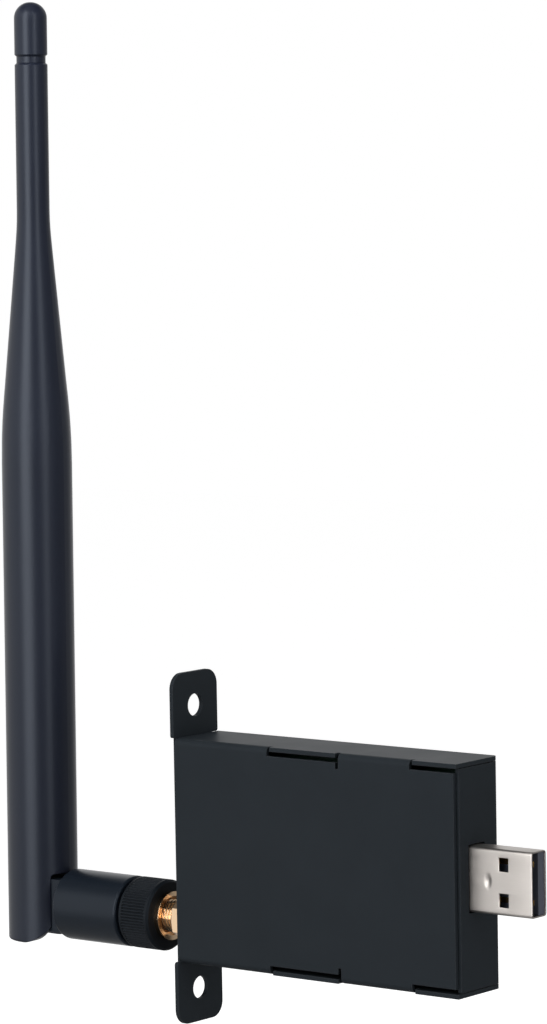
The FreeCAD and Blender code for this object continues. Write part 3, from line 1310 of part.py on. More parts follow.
# Inside the whip: the cable's end, the lower half of the dipole and its upper half with a coil
def make_radiator():
    on_whip(turned_body("whip_cable", (
        ("0", "fork_depth"),
        ("cable_radius", "fork_depth"),
        ("cable_radius", FEED_TOP),
        ("0", FEED_TOP),
    )))
    inner = "(dipole_radius - dipole_wall)"
    dipole_end = "(dipole_start + dipole_length)"
    on_whip(turned_body("dipole_sleeve", (
        (inner, "dipole_start"),
        ("dipole_radius", "dipole_start"),
        ("dipole_radius", dipole_end),
        ("cable_radius", dipole_end),
        ("cable_radius", f"{dipole_end} - dipole_wall"),
        (inner, f"{dipole_end} - dipole_wall"),
    )))

    coil_height = "(coil_pitch * coil_turns)"
    path = doc.addObject("Part::Helix", "coil_path")
    bind(path, Pitch="coil_pitch", Height=coil_height, Radius="coil_radius",
         Placement__Base__z="coil_start")
    section = doc.addObject("Part::Circle", "coil_section")
    section.Placement = FreeCAD.Placement(FreeCAD.Vector(), FreeCAD.Rotation(ALONG_X, 90))
    bind(section, Radius="wire_radius", Placement__Base__x="coil_radius", Placement__Base__z="coil_start")
    doc.recompute()
    coil = doc.addObject("Part::Sweep", "coil")
    coil.Sections = [section]
    coil.Spine = (path, ["Edge1"])
    coil.Solid = True
    coil.Frenet = True
    members = [coil]
    levels = (("low", FEED_TOP, f"coil_start - {FEED_TOP}"),
              ("high", f"coil_start + {coil_height}", f"radiator_top - coil_start - {coil_height}"))
    for name, start, length in levels:
        straight = doc.addObject("Part::Cylinder", f"wire_{name}")
        bind(straight, Radius="wire_radius", Height=length, Placement__Base__z=start)
        members.append(straight)
    for name, up in (("low", "coil_start"), ("high", f"coil_start + {coil_height}")):
        arm = doc.addObject("Part::Cylinder", f"arm_{name}")
        arm.Placement = FreeCAD.Placement(FreeCAD.Vector(), FreeCAD.Rotation(ALONG_Y, 90))
        bind(arm, Radius="wire_radius", Height="coil_radius", Placement__Base__z=up)
        members.append(arm)
        for spot, across in (("axis", "0"), ("turn", "coil_radius")):
            knob = doc.addObject("Part::Sphere", f"bend_{name}_{spot}")
            bind(knob, Radius="wire_radius", Placement__Base__x=across, Placement__Base__z=up)
            members.append(knob)
    wire = doc.addObject("Part::MultiFuse", "Radiator")
    wire.Shapes = members
    keep(wire, "radiator_wire")
    on_whip(wire)


make_chassis()
make_front_cover()
make_fasteners()
make_board()
make_board_parts()
make_usb_shell()
make_usb_inside()
make_jack()
make_jack_nut()
make_coupling_nut()
make_antenna_plug()
make_knuckle()
make_whip_sheath()
make_radiator()
doc.recompute()

for thing in doc.Objects:
    if "Invalid" in thing.State or "Error" in thing.State:
        raise ValueError(f"{thing.Label} is {thing.State}")

os.makedirs("parts", exist_ok=True)
for thing in kept:
    shape = thing.Shape
    if shape.isNull() or not shape.isValid() or not shape.Solids:
        raise ValueError(f"{thing.Label} is no valid solid")
    shape.exportStep(f"parts/{thing.Label}.step")
    box = shape.BoundBox
    print(f"{thing.Label:22s} {len(shape.Solids)} solid(s) {shape.Volume:9.2f} mm3  "
          f"x {box.XMin:7.2f} {box.XMax:7.2f}  y {box.YMin:6.2f} {box.YMax:6.2f}  "
          f"z {box.ZMin:7.2f} {box.ZMax:7.2f}")
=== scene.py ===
import math

import bmesh
import bpy
from mathutils import Matrix, Vector


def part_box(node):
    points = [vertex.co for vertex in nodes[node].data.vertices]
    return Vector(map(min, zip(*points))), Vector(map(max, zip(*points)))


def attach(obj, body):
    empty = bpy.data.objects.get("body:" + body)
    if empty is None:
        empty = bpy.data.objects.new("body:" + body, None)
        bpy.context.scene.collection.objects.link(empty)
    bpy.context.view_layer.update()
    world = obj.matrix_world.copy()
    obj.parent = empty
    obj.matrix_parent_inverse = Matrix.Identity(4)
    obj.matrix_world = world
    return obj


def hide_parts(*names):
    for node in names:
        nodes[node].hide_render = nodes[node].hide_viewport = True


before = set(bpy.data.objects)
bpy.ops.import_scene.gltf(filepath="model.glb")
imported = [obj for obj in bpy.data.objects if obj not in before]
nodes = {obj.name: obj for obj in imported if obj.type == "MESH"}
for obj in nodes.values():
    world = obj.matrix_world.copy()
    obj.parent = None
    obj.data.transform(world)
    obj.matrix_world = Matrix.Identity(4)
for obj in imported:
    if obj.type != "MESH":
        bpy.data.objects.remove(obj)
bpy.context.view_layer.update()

# Chassis and front cover: two folded sheets of 0.8 mm steel, powder-coated black. The coat
# is matt, has a very fine orange peel, and lies thinner over the cut edges of the sheet.
GRAIN_CELLS = 2600.0
CLOUD_CELLS = 90.0
STREAK_CELLS = 5200.0
STREAK_STRETCH = 0.035
STREAK_HEIGHT = 2.0
STREAK_MIDDLE = 0.5
WEAR_RADIUS = 0.0002
WEAR_FROM, WEAR_TO = 0.995, 0.86
BLUE_SHEEN = (0.8, 0.88, 1.0)


def new_group(name, inputs, outputs):
    """Start a shader node group with named sockets; each input is a name and its first value."""
    group = bpy.data.node_groups.new(name, "ShaderNodeTree")
    for socket, value in inputs:
        made = group.interface.new_socket(socket, in_out="INPUT", socket_type="NodeSocketFloat")
        made.default_value = value
    for socket in outputs:
        group.interface.new_socket(socket, in_out="OUTPUT", socket_type="NodeSocketFloat")
    entry = group.nodes.new("NodeGroupInput")
    leave = group.nodes.new("NodeGroupOutput")
    return group, entry, leave


def noise(tree, place, cells, detail, roughness):
    """Add a noise pattern at the cells per metre that a socket gives."""
    node = tree.nodes.new("ShaderNodeTexNoise")
    node.inputs["Detail"].default_value = detail
    node.inputs["Roughness"].default_value = roughness
    tree.links.new(place, node.inputs["Vector"])
    tree.links.new(cells, node.inputs["Scale"])
    return node.outputs["Fac"]


def arithmetic(tree, operation, first, second):
    """Add a math node that works on two sockets or numbers."""
    node = tree.nodes.new("ShaderNodeMath")
    node.operation = operation
    for socket, value in zip(node.inputs, (first, second)):
        if isinstance(value, (int, float)):
            socket.default_value = value
        else:
            tree.links.new(value, socket)
    return node.outputs["Value"]


def ramp(tree, value, start, end, low, high, curve="LINEAR"):
    """Add a change from low to high as a value goes from start to end."""
    node = tree.nodes.new("ShaderNodeMapRange")
    node.interpolation_type = curve
    node.inputs["From Min"].default_value = start
    node.inputs["From Max"].default_value = end
    node.inputs["To Min"].default_value = low
    node.inputs["To Max"].default_value = high
    tree.links.new(value, node.inputs["Value"])
    return node.outputs["Result"]


def surface_group():
    """Grain of a coated or moulded surface: a fine height, and a slow change of tone."""
    inputs = (("Cells", GRAIN_CELLS), ("Cloud", CLOUD_CELLS))
    group, entry, leave = new_group("surface_grain", inputs, ("Height", "Tone"))
    place = group.nodes.new("ShaderNodeTexCoord").outputs["Object"]
    fine = noise(group, place, entry.outputs["Cells"], detail=2.0, roughness=0.6)
    cloud = noise(group, place, entry.outputs["Cloud"], detail=3.0, roughness=0.55)
    group.links.new(fine, leave.inputs["Height"])
    group.links.new(cloud, leave.inputs["Tone"])
    return group


def edge_group():
    """Mask of the outer edges, where a coat is thin and a hand rubs."""
    group, entry, leave = new_group("edge_wear", (("Radius", WEAR_RADIUS),), ("Edge",))
    rounded = group.nodes.new("ShaderNodeBevel")
    rounded.samples = 4
    group.links.new(entry.outputs["Radius"], rounded.inputs["Radius"])
    plain = group.nodes.new("ShaderNodeNewGeometry")
    likeness = group.nodes.new("ShaderNodeVectorMath")
    likeness.operation = "DOT_PRODUCT"
    group.links.new(rounded.outputs["Normal"], likeness.inputs[0])
    group.links.new(plain.outputs["Normal"], likeness.inputs[1])
    mask = ramp(group, likeness.outputs["Value"], WEAR_FROM, WEAR_TO, 0.0, 1.0)
    group.links.new(mask, leave.inputs["Edge"])
    return group


def rolling_group():
    """Marks of a rolled sheet: long fine streaks along X."""
    group, entry, leave = new_group("rolling_marks", (("Streaks", STREAK_CELLS),), ("Streak",))
    place = group.nodes.new("ShaderNodeTexCoord").outputs["Object"]
    stretched = group.nodes.new("ShaderNodeMapping")
    stretched.inputs["Scale"].default_value = (STREAK_STRETCH, 1.0, 1.0)
    group.links.new(place, stretched.inputs["Vector"])
    streak = noise(group, stretched.outputs["Vector"], entry.outputs["Streaks"], detail=3.0, roughness=0.6)
    group.links.new(streak, leave.inputs["Streak"])
    return group


GRAIN = surface_group()
EDGE = edge_group()
ROLLING = rolling_group()


def add_group(tree, group):
    """Place a shader node group in a material."""
    node = tree.nodes.new("ShaderNodeGroup")
    node.node_tree = group
    return node


def opaque(colour):
    """Give a colour its alpha, with no channel above white."""
    return [*(min(1.0, channel) for channel in colour), 1.0]


def finish(name, colour, rough, metallic=0.0, shift=0.12, tone=0.12, cells=GRAIN_CELLS,
           cloud=CLOUD_CELLS, relief=4e-6, edge=0.0, rounding=0.00012, specular=0.5,
           sheen_tint=(1.0, 1.0, 1.0), rolled=0.0):
    """A finish with grain, a slow change of tone and softened edges, and wear or rolling marks if asked."""
    material = bpy.data.materials.new(name)
    material.use_nodes = True
    tree = material.node_tree
    shader = tree.nodes["Principled BSDF"]
    shader.inputs["Metallic"].default_value = metallic
    shader.inputs["Specular IOR Level"].default_value = specular
    shader.inputs["Specular Tint"].default_value = opaque(sheen_tint)

    grain = add_group(tree, GRAIN)
    grain.inputs["Cells"].default_value = cells
    grain.inputs["Cloud"].default_value = cloud
    height = grain.outputs["Height"]
    tint = tree.nodes.new("ShaderNodeMix")
    tint.data_type = "RGBA"
    tint.inputs["A"].default_value = opaque(channel * (1 - tone) for channel in colour)
    tint.inputs["B"].default_value = opaque(channel * (1 + tone) for channel in colour)
    tree.links.new(grain.outputs["Tone"], tint.inputs["Factor"])
    painted = tint.outputs["Result"]
    dullness = ramp(tree, grain.outputs["Tone"], 0.0, 1.0, rough * (1 - shift), rough * (1 + shift))
    if edge:
        worn = add_group(tree, EDGE).outputs["Edge"]
        rubbed = tree.nodes.new("ShaderNodeMix")
        rubbed.data_type = "RGBA"
        rubbed.inputs["B"].default_value = opaque(channel + edge for channel in colour)
        tree.links.new(arithmetic(tree, "MULTIPLY", worn, height), rubbed.inputs["Factor"])
        tree.links.new(painted, rubbed.inputs["A"])
        painted = rubbed.outputs["Result"]
    if rolled:
        streak = add_group(tree, ROLLING).outputs["Streak"]
        height = arithmetic(tree, "ADD", height, arithmetic(tree, "MULTIPLY", streak, STREAK_HEIGHT))
        uneven = arithmetic(tree, "SUBTRACT", streak, STREAK_MIDDLE)
        dullness = arithmetic(tree, "ADD", dullness, arithmetic(tree, "MULTIPLY", uneven, rolled))
    tree.links.new(painted, shader.inputs["Base Color"])
    tree.links.new(dullness, shader.inputs["Roughness"])

    soft = tree.nodes.new("ShaderNodeBevel")
    soft.samples = 6
    soft.inputs["Radius"].default_value = rounding
    bump = tree.nodes.new("ShaderNodeBump")
    bump.inputs["Strength"].default_value = 1.0
    bump.inputs["Distance"].default_value = relief
    tree.links.new(height, bump.inputs["Height"])
    tree.links.new(soft.outputs["Normal"], bump.inputs["Normal"])
    tree.links.new(bump.outputs["Normal"], shader.inputs["Normal"])
    return material


def dress(material, *names):
    """Give CAD nodes their finish."""
    for name in names:
        nodes[name].material_slots[0].material = material


powder_coat = finish("powder_coat", (0.0116, 0.0144, 0.0172), 0.46, cells=2300.0, relief=5e-6,
                     edge=0.025, rounding=0.0002, specular=0.09, sheen_tint=BLUE_SHEEN)
dress(powder_coat, "chassis", "front_cover")

# Back screws, spacers and standoffs: zinc-plated steel, turned and cold-headed. The screws
# pass the back, the spacers and the board into standoffs pressed into the cover.
zinc = finish("zinc_plate", (0.56, 0.56, 0.57), 0.34, metallic=1.0, relief=1.5e-6, edge=0.1)
dress(zinc, "back_screws", "board_spacers", "cover_standoffs", "snap_ring")

# Circuit board: fibreglass under green solder mask, with a tinned can over the radio chip,
# its crystal, and the memory and power parts beside it, all soldered to the front face.
solder_mask = finish("solder_mask", (0.003, 0.02, 0.011), 0.32, tone=0.25, cloud=220.0, relief=2e-6)
tinplate = finish("tinplate", (0.62, 0.62, 0.6), 0.3, metallic=1.0, tone=0.06, cloud=160.0, relief=1.5e-6,
                  rolled=0.2)
chip_epoxy = finish("chip_epoxy", (0.02, 0.02, 0.021), 0.6, cells=5200.0, relief=3e-6)
ceramic = finish("capacitor_ceramic", (0.33, 0.2, 0.11), 0.5, tone=0.2, cloud=900.0)
dress(solder_mask, "circuit_board")
dress(tinplate, "shield_can", "crystal")
dress(chip_epoxy, "radio_chip", "memory_chip", "voltage_regulator", "inductor")
dress(ceramic, "capacitors")

# USB plug: a shell folded from nickel-plated steel round a blue-black moulded insulator,
# whose tongue carries four gold-plated contacts.
nickel = finish("nickel_plate", (0.615, 0.578, 0.545), 0.42, metallic=1.0, tone=0.035, shift=0.16,
                cells=3800.0, cloud=420.0, relief=2e-6, rounding=0.00008, rolled=0.3)
insulator = finish("plug_insulator_blue_black", (0.043, 0.048, 0.064), 0.35, cells=4200.0, relief=2e-6)
contact_gold = finish("contact_gold", (0.86, 0.6, 0.24), 0.22, metallic=1.0, relief=1e-6)
dress(insulator, "usb_insulator")
dress(contact_gold, "usb_contact_power", "usb_contact_data_minus", "usb_contact_data_plus",
      "usb_contact_ground", "jack_pin", "plug_contact")

PLUG_ROOT = 0.065
PLUG_HALF_WIDTH = 0.006
PLUG_CORNER, CORNER_STEPS = 0.0006, 10
SHEET = 0.00027
RIM_RADIUS, RIM_STEPS = 0.00006, 2
RIM_ANGLE = 1.0
WINDOW_X = (0.07244, 0.07444)
WINDOW_Z = (0.002, 0.0045)
ROLLOVER_WIDTH, ROLLOVER_DEPTH = 0.00028, 0.00003
MOUTH_WIDTH, MOUTH_DEPTH = 0.0003, 0.00006
DIMPLE_X = 0.07
DIMPLE_REACH = (0.001, 0.0018)
DIMPLE_DEPTH = 0.0002
DIMPLE_STEP = 0.0001
JOINT_HALF = 0.00002
PLUG_CREASE = math.radians(32)

# How near a cut, a point or a wall counts as the same one, and the length of a sliver's edge
SAME_CUT = 1e-8
SAME_POINT = 1e-7
SAME_WALL = 1e-6
SLIVER = 5e-7


def merged_copy(name):
    """Copy a CAD node's loose triangles and join their points."""
    shape = bmesh.new()
    shape.from_mesh(nodes[name].data)
    bmesh.ops.remove_doubles(shape, verts=shape.verts, dist=SAME_POINT)
    return shape


def cut_across(shape, point, normal, drop_far=False):
    """Cut a shape along a plane, drop its far side if asked, and give the edges of the cut."""
    everything = shape.verts[:] + shape.edges[:] + shape.faces[:]
    cut = bmesh.ops.bisect_plane(shape, geom=everything, dist=SAME_CUT, plane_co=point,
                                 plane_no=normal, clear_outer=drop_far)
    return [item for item in cut["geom_cut"] if isinstance(item, bmesh.types.BMEdge)]


def make_object(shape, name, material, crease=None):
    """Make an object from a shape; with a crease angle it is smooth but for sharper edges."""
    mesh = bpy.data.meshes.new(name)
    shape.to_mesh(mesh)
    shape.free()
    mesh.materials.append(material)
    if crease:
        mesh.shade_smooth()
        mesh.set_sharp_from_angle(angle=crease)
    made = bpy.data.objects.new(name, mesh)
    bpy.context.scene.collection.objects.link(made)
    return made


# The stretch inside the box keeps its solder wings and is closed where the plug is cut off
wings = merged_copy("usb_shell")
rim = cut_across(wings, (PLUG_ROOT, 0, 0), (1, 0, 0), drop_far=True)
bmesh.ops.contextual_create(wings, geom=rim)

# The plug is one sheet: a sleeve with rounded corners, cut along the lines that it is worked on
shell_low, shell_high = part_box("usb_shell")
plug_tip, plug_front, plug_back = shell_high.x, shell_low.y, shell_high.y
plug_middle = (plug_front + plug_back) / 2
plug_half_depth = (plug_back - plug_front) / 2
sleeve = bmesh.new()
bmesh.ops.create_cube(sleeve, size=1.0)
bmesh.ops.scale(sleeve, verts=sleeve.verts,
                vec=(plug_tip - PLUG_ROOT, 2 * plug_half_depth, 2 * PLUG_HALF_WIDTH))
bmesh.ops.translate(sleeve, verts=sleeve.verts, vec=((plug_tip + PLUG_ROOT) / 2, plug_middle, 0))
sleeve.normal_update()
ends = [face for face in sleeve.faces if round(abs(face.normal.x)) == 1]
bmesh.ops.delete(sleeve, geom=ends, context="FACES_ONLY")
folds = [edge for edge in sleeve.edges if abs(edge.verts[0].co.x - edge.verts[1].co.x) > PLUG_CORNER]
bmesh.ops.bevel(sleeve, geom=folds, offset=PLUG_CORNER, offset_type="OFFSET", affect="EDGES",
                segments=CORNER_STEPS, profile=0.5, material=-1)
steps_x, steps_z = [round(reach / DIMPLE_STEP) for reach in DIMPLE_REACH]
lines_x = [DIMPLE_X + DIMPLE_STEP * step for step in range(-steps_x, steps_x + 1)]
lines_x += [PLUG_ROOT + ROLLOVER_WIDTH, WINDOW_X[0] - ROLLOVER_WIDTH, *WINDOW_X,
            WINDOW_X[1] + ROLLOVER_WIDTH, plug_tip - MOUTH_WIDTH]
lines_z = [DIMPLE_STEP * (step + 0.5) for step in range(-steps_z - 1, steps_z + 1)]
for side in (-1, 1):
    lines_z += [side * (WINDOW_Z[0] - ROLLOVER_WIDTH / 2), side * WINDOW_Z[0], side * WINDOW_Z[1],
                side * (WINDOW_Z[1] + ROLLOVER_WIDTH), side * JOINT_HALF]
for x in lines_x:
    cut_across(sleeve, (x, 0, 0), (1, 0, 0))
for z in lines_z:
    cut_across(sleeve, (0, 0, z), (0, 0, 1))
openings = []
for face in sleeve.faces:
    middle = face.calc_center_median()
    in_window = WINDOW_X[0] < middle.x < WINDOW_X[1] and WINDOW_Z[0] < abs(middle.z) < WINDOW_Z[1]
    in_joint = middle.y > plug_back - SAME_WALL and abs(middle.z) < JOINT_HALF
    if in_window or in_joint:
        openings.append(face)
bmesh.ops.delete(sleeve, geom=openings, context="FACES")

# The punch rolls the windows' edges in, the press leaves the dimple, and the mouth closes a little
for vert in sleeve.verts:
    spot = vert.co
    inward = 1 if spot.y < plug_middle else -1
    flat = min(abs(spot.y - plug_front), abs(spot.y - plug_back)) < SAME_WALL
    on_rim = (WINDOW_X[0] - SAME_POINT < spot.x < WINDOW_X[1] + SAME_POINT
              and WINDOW_Z[0] - SAME_POINT < abs(spot.z) < WINDOW_Z[1] + SAME_POINT)
    reach = math.hypot((spot.x - DIMPLE_X) / DIMPLE_REACH[0], spot.z / DIMPLE_REACH[1])
    if flat and on_rim:
        spot.y += inward * ROLLOVER_DEPTH
    elif flat and inward > 0 and reach < 1:
        spot.y += DIMPLE_DEPTH * math.cos(math.pi / 2 * reach) ** 2
    if spot.x > plug_tip - SAME_POINT:
        spot.y -= MOUTH_DEPTH * (spot.y - plug_middle) / plug_half_depth
        spot.z -= MOUTH_DEPTH * spot.z / PLUG_HALF_WIDTH
bmesh.ops.recalc_face_normals(sleeve, faces=sleeve.faces)
bmesh.ops.solidify(sleeve, geom=sleeve.faces[:], thickness=SHEET)

# The sheet's inner side stays flat behind the dimple
for vert in sleeve.verts:
    beside = abs(vert.co.x - DIMPLE_X) < DIMPLE_REACH[0] and abs(vert.co.z) < DIMPLE_REACH[1]
    if beside and plug_front + SHEET - SAME_WALL < vert.co.y < 0:
        vert.co.y = plug_front + SHEET

# The sheet's cut edges are rounded, but not in the joint, and the slivers that this leaves are removed
sleeve.normal_update()
sharp = [edge for edge in sleeve.edges if edge.is_manifold and edge.calc_face_angle() > RIM_ANGLE
         and max(abs(vert.co.z) for vert in edge.verts) > 2 * JOINT_HALF]
bmesh.ops.bevel(sleeve, geom=sharp, offset=RIM_RADIUS, offset_type="OFFSET", affect="EDGES",
                segments=RIM_STEPS, profile=0.5, material=-1)
bmesh.ops.dissolve_degenerate(sleeve, dist=SLIVER, edges=sleeve.edges)
bmesh.ops.remove_doubles(sleeve, verts=sleeve.verts, dist=SLIVER)
bmesh.ops.recalc_face_normals(sleeve, faces=sleeve.faces)

# Both stretches are one piece
sleeve_mesh = bpy.data.meshes.new("plug_sleeve")
sleeve.to_mesh(sleeve_mesh)
sleeve.free()
wings.from_mesh(sleeve_mesh)
bpy.data.meshes.remove(sleeve_mesh)
folded_shell = make_object(wings, "folded_plug_shell", nickel, PLUG_CREASE)
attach(folded_shell, "housing")
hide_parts("usb_shell")

# Antenna jack: a gold-plated brass barrel with a fine thread, held in the end plate by its
# flange, a toothed lock washer and a hex nut. White fluoropolymer carries the pin.
gold_plate = finish("gold_plate", (0.98, 0.68, 0.44), 0.16, metallic=1.0, tone=0.08, cells=3000.0,
                    cloud=300.0, relief=1.5e-6)
fluoropolymer = finish("fluoropolymer", (0.82, 0.81, 0.77), 0.45, tone=0.03)
dress(gold_plate, "jack_body", "lock_washer", "jack_nut", "antenna_plug_body", "dipole_sleeve")
dress(fluoropolymer, "jack_insulator", "plug_insulator")

THREAD_RADIUS = 0.003175
THREAD_PITCH = 0.0254 / 36
THREAD_DEPTH = 0.0004
THREAD_LEAD_IN = 0.0006
THREAD_FLANK, THREAD_CREST = 1.7, 0.3
SAMPLES_PER_TURN = 10
BARREL_FROM = -0.0029
BARREL_FACE = -0.011
BARREL_STEPS = 64
SOCKET_FLOOR = -0.009
SOCKET_RADIUS = 0.0023
CORE_RADIUS = 0.00205
JACK_CREASE = math.radians(24)

# The flange, the legs and the stretch under the nut stay as they are; the rest is cut off
jack = merged_copy("jack_body")
rims = cut_across(jack, (BARREL_FROM, 0, 0), (-1, 0, 0), drop_far=True)
bmesh.ops.bridge_loops(jack, edges=rims)

# The threaded stretch is turned from its section, closed in itself, and its outside is then cut
axis_height = sum(corner.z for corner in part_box("jack_nut")) / 2
turns = (BARREL_FROM - BARREL_FACE) / THREAD_PITCH
stations = round(turns * SAMPLES_PER_TURN)
outside = [(BARREL_FROM + (BARREL_FACE - BARREL_FROM) * step / stations, THREAD_RADIUS)
           for step in range(stations + 1)]
section = outside + [(BARREL_FACE, SOCKET_RADIUS), (SOCKET_FLOOR, SOCKET_RADIUS),
                     (SOCKET_FLOOR, CORE_RADIUS), (BARREL_FROM, CORE_RADIUS)]
corners = [jack.verts.new((along, 0, axis_height + radius)) for along, radius in section]
loop = [jack.edges.new(pair) for pair in zip(corners, corners[1:] + corners[:1])]
bmesh.ops.spin(jack, geom=corners + loop, cent=(0, 0, axis_height), axis=(1, 0, 0),
               angle=2 * math.pi, steps=BARREL_STEPS, use_merge=True)
for vert in jack.verts:
    reach = math.hypot(vert.co.y, vert.co.z - axis_height)
    on_barrel = BARREL_FACE - SAME_POINT < vert.co.x < BARREL_FROM + SAME_POINT
    if on_barrel and abs(reach - THREAD_RADIUS) < SAME_WALL:
        turn_share = math.atan2(vert.co.y, vert.co.z - axis_height) / (2 * math.pi)
        phase = (vert.co.x / THREAD_PITCH + turn_share) % 1.0
        groove = min(1.0, max(0.0, THREAD_FLANK * abs(2 * phase - 1) - THREAD_CREST))
        lead = min(1.0, max(0.0, (BARREL_FROM - vert.co.x) / THREAD_LEAD_IN))
        chamfer = max(0.0, 1.0 - (vert.co.x - BARREL_FACE) / THREAD_LEAD_IN)
        radius = THREAD_RADIUS - THREAD_DEPTH * max(groove * lead, chamfer)
        vert.co.y *= radius / reach
        vert.co.z = axis_height + (vert.co.z - axis_height) * radius / reach
bmesh.ops.recalc_face_normals(jack, faces=jack.faces)
threaded_jack = make_object(jack, "threaded_jack", gold_plate, JACK_CREASE)
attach(threaded_jack, "housing")
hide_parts("jack_body")

# Coupling nut: a gold-plated brass insert pressed into a knurled black sleeve, held on the
# antenna's plug by a snap ring.
sleeve_black = finish("sleeve_moulding", (0.0045, 0.006, 0.008), 0.5, cells=3000.0, relief=4e-6,
                      edge=0.015, rounding=0.00008, specular=0.15, sheen_tint=BLUE_SHEEN)
dress(gold_plate, "coupling_insert")
dress(sleeve_black, "coupling_sleeve")

# Knuckle: a black moulding that turns on the neck of the antenna's plug and carries the
# tongue of the hinge.
knuckle_black = finish("knuckle_moulding", (0.0055, 0.008, 0.012), 0.3, cells=3400.0, relief=4e-6,
                       rounding=0.0002, specular=0.3, sheen_tint=BLUE_SHEEN)
dress(knuckle_black, "knuckle")

# Whip: one satin black moulding, forked at its foot, with a cap at its tip. Inside are the
# end of the feed cable and the dipole's sleeve and wire.
whip_black = finish("whip_moulding", (0.0064, 0.0079, 0.014), 0.34, cells=3000.0, cloud=60.0, relief=7e-6,
                    rounding=0.0002, specular=0.45, sheen_tint=BLUE_SHEEN)
cable_black = finish("cable_jacket", (0.012, 0.012, 0.012), 0.5)
copper = finish("copper_wire", (0.72, 0.33, 0.18), 0.3, metallic=1.0)
dress(whip_black, "whip_sheath", "tip_cap")
dress(cable_black, "feed_cable", "whip_cable")
dress(copper, "radiator_wire")

# Studio: a pale floor well below the part, white surroundings that are dimmer on the
# plug's side, and soft lamps. The part is held by its ears, so it stands clear of the floor.
CAMERA_AZIMUTH = math.radians(38.201)
CAMERA_ELEVATION = math.radians(4.946)
CAMERA_ROLL = math.radians(-1.003)
CAMERA_DISTANCE = 0.84727
CAMERA_AIM_RIGHT = 0.014312
CAMERA_AIM_UP = 0.063233
CAMERA_AIM_ALONG = 0.0008
FOCAL_PIXELS = 4478.5
IMAGE_HEIGHT = 1024
SENSOR = 36.0
NEAREST, FARTHEST = 0.01, 50.0

away = Vector((
    math.sin(CAMERA_AZIMUTH) * math.cos(CAMERA_ELEVATION),
    -math.cos(CAMERA_AZIMUTH) * math.cos(CAMERA_ELEVATION),
    math.sin(CAMERA_ELEVATION),
))
level = Vector((math.cos(CAMERA_AZIMUTH), math.sin(CAMERA_AZIMUTH), 0))
upward = away.cross(level)
right = level * math.cos(CAMERA_ROLL) + upward * math.sin(CAMERA_ROLL)
up = upward * math.cos(CAMERA_ROLL) - level * math.sin(CAMERA_ROLL)
viewpoint = away * CAMERA_DISTANCE + right * CAMERA_AIM_RIGHT + up * CAMERA_AIM_UP
viewpoint.x += CAMERA_AIM_ALONG
lens = bpy.data.cameras.new("studio_camera")
lens.sensor_fit = "AUTO"
lens.sensor_width = SENSOR
lens.lens = FOCAL_PIXELS * SENSOR / IMAGE_HEIGHT
lens.clip_start = NEAREST
lens.clip_end = FARTHEST
camera = bpy.data.objects.new("studio_camera", lens)
turn = Matrix((right, up, away)).transposed().to_4x4()
camera.matrix_world = Matrix.Translation(viewpoint) @ turn
bpy.context.scene.collection.objects.link(camera)
bpy.context.scene.camera = camera


def show_white(tree, shader, surround, output, share=1.0, mirrored=0.0):
    """Show plain white to the camera and through glass, and as far as asked in reflections."""
    path = tree.nodes.new("ShaderNodeLightPath")
    seen = arithmetic(tree, "MAXIMUM", path.outputs["Is Camera Ray"], path.outputs["Is Transmission Ray"])
    shown = arithmetic(tree, "MULTIPLY", path.outputs["Is Glossy Ray"], mirrored)
    seen = arithmetic(tree, "MULTIPLY", arithmetic(tree, "MAXIMUM", seen, shown), share)
    mix = tree.nodes.new("ShaderNodeMixShader")
    tree.links.new(seen, mix.inputs[0])
    tree.links.new(shader, mix.inputs[1])
    tree.links.new(surround, mix.inputs[2])
    tree.links.new(mix.outputs["Shader"], output)


# How bright the walls stand round the part: degrees from the front toward the plug's side
WALLS = (
    (-180, 0.5), (-160, 0.75), (-142, 1.0), (-118, 0.85), (-95, 0.75), (-78, 0.82), (-58, 0.95), (-38, 1.0),
    (-22, 0.7), (8, 0.28), (30, 0.2), (48, 0.2), (66, 0.34), (86, 0.26), (110, 0.12), (140, 0.32),
    (165, 0.35), (180, 0.5),
)
CEILING_FROM, CEILING_TO = math.sin(math.radians(30)), math.sin(math.radians(42))
CEILING_SHARE = 0.16
GROUND_FROM, GROUND_TO = math.sin(math.radians(-6)), math.sin(math.radians(-24))
GROUND_SHARE = 0.4
BACKDROP_FROM, BACKDROP_TO = math.cos(math.radians(30)), math.cos(math.radians(14))
WHITE = (1.0, 1.0, 1.0, 1.0)
world = bpy.data.worlds.new("studio")
bpy.context.scene.world = world
world.use_nodes = True
sky = world.node_tree
sky.nodes.clear()
look = sky.nodes.new("ShaderNodeTexCoord")
split = sky.nodes.new("ShaderNodeSeparateXYZ")
sky.links.new(look.outputs["Generated"], split.inputs["Vector"])
ahead = arithmetic(sky, "MULTIPLY", split.outputs["Y"], -1.0)
heading = arithmetic(sky, "ARCTAN2", split.outputs["X"], ahead)
share = arithmetic(sky, "ADD", arithmetic(sky, "DIVIDE", heading, 2 * math.pi), 0.5)
walls = sky.nodes.new("ShaderNodeValToRGB")
walls.color_ramp.interpolation = "EASE"
stops = walls.color_ramp.elements
while len(stops) > 1:
    stops.remove(stops[-1])
for number, (degrees, bright) in enumerate(WALLS):
    position = degrees / 360 + 0.5
    stop = stops.new(position) if number else stops[0]
    stop.position = position
    stop.color = opaque([bright] * 3)
sky.links.new(share, walls.inputs["Fac"])
ceiling = ramp(sky, split.outputs["Z"], CEILING_FROM, CEILING_TO, 1.0, CEILING_SHARE, "SMOOTHSTEP")
ground = ramp(sky, split.outputs["Z"], GROUND_FROM, GROUND_TO, 1.0, GROUND_SHARE, "SMOOTHSTEP")
wall = arithmetic(sky, "MULTIPLY", walls.outputs["Color"], arithmetic(sky, "MULTIPLY", ceiling, ground))
surroundings = sky.nodes.new("ShaderNodeBackground")
surroundings.inputs["Color"].default_value = WHITE
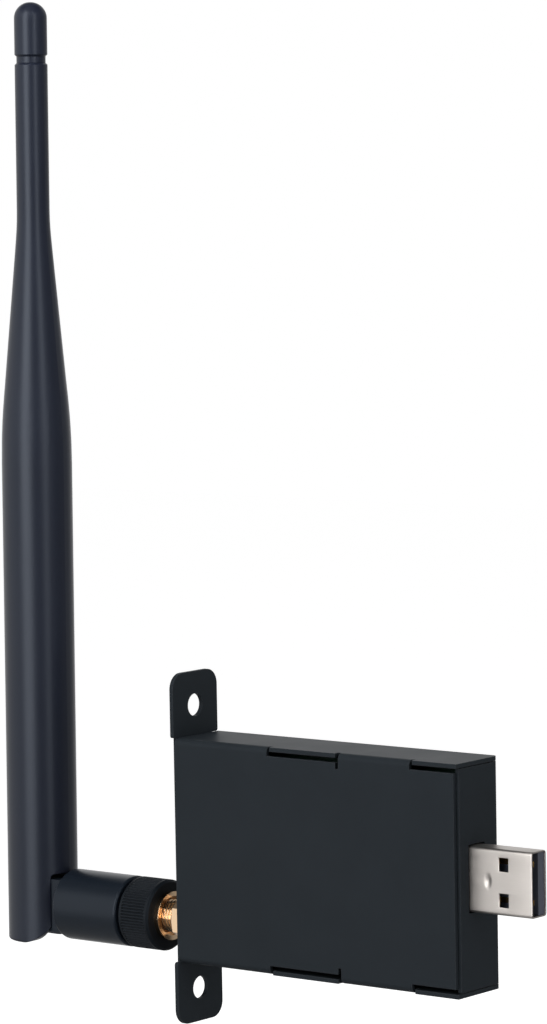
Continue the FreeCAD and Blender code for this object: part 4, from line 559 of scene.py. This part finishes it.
sky.links.new(wall, surroundings.inputs["Strength"])
white = sky.nodes.new("ShaderNodeBackground")
white.inputs["Color"].default_value = WHITE
sky_end = sky.nodes.new("ShaderNodeOutputWorld")
behind = sky.nodes.new("ShaderNodeVectorMath")
behind.operation = "DOT_PRODUCT"
behind.inputs[1].default_value = -away
sky.links.new(look.outputs["Generated"], behind.inputs[0])
backdrop = ramp(sky, behind.outputs["Value"], BACKDROP_FROM, BACKDROP_TO, 0.0, 1.0, "SMOOTHSTEP")
show_white(sky, surroundings.outputs["Background"], white.outputs["Background"],
           sky_end.inputs["Surface"], mirrored=backdrop)

# The floor looks white where it is lit; the rest of what the camera sees of it is real light
FLOOR_DEPTH = 0.25
FLOOR_REACH = 3.0
FLOOR_PAINT = (0.9, 0.9, 0.9, 1.0)
FLOOR_ROUGHNESS = 0.9
FLOOR_SHARE = 0.7
FLOOR_GLOW = 1.32
paint = bpy.data.materials.new("floor_white")
paint.use_nodes = True
tree = paint.node_tree
matt = tree.nodes["Principled BSDF"]
matt.inputs["Base Color"].default_value = FLOOR_PAINT
matt.inputs["Roughness"].default_value = FLOOR_ROUGHNESS
glow = tree.nodes.new("ShaderNodeEmission")
glow.inputs["Strength"].default_value = FLOOR_GLOW
show_white(tree, matt.outputs["BSDF"], glow.outputs["Emission"],
           tree.nodes["Material Output"].inputs["Surface"], share=FLOOR_SHARE)
sheet = bmesh.new()
bmesh.ops.create_grid(sheet, x_segments=1, y_segments=1, size=FLOOR_REACH)
bmesh.ops.translate(sheet, verts=sheet.verts, vec=(0, 0, -FLOOR_DEPTH))
floor = make_object(sheet, "floor", paint)
floor.visible_glossy = False

# Each lamp: name, place, the point it faces, width, height, power in watts, shows in gloss
LAMPS = (
    ("key_strip", (0.035, -1.0, 0.53), (0.0, 0.0, 0.53), 0.56, 1.46, 8.9, True),
    ("fill_strip", (1.11, -0.45, 0.55), (0.0, 0.0, 0.55), 0.36, 1.4, 3.6, True),
    ("side_soft", (1.2, 0.1, 0.15), (0.0, 0.0, 0.05), 0.8, 0.9, 6.8, False),
    ("rear_soft", (-0.31, 1.16, 0.35), (0.0, 0.0, 0.05), 0.9, 0.9, 8.0, False),
    ("tip_lamp", (0.02, -0.14, 0.34), (-0.038, 0.0, 0.16), 0.2, 0.2, 1.3, False),
)
for name, place, target, width, height, power, in_gloss in LAMPS:
    source = bpy.data.lights.new(name, "AREA")
    source.shape = "RECTANGLE"
    source.size = width
    source.size_y = height
    source.energy = power
    lamp = bpy.data.objects.new(name, source)
    way = Vector(place) - Vector(target)
    lamp.matrix_world = Matrix.Translation(place) @ way.to_track_quat("Z", "Y").to_matrix().to_4x4()
    lamp.visible_camera = False
    lamp.visible_glossy = in_gloss
    bpy.context.scene.collection.objects.link(lamp)

bpy.context.scene.view_settings.view_transform = "Standard"
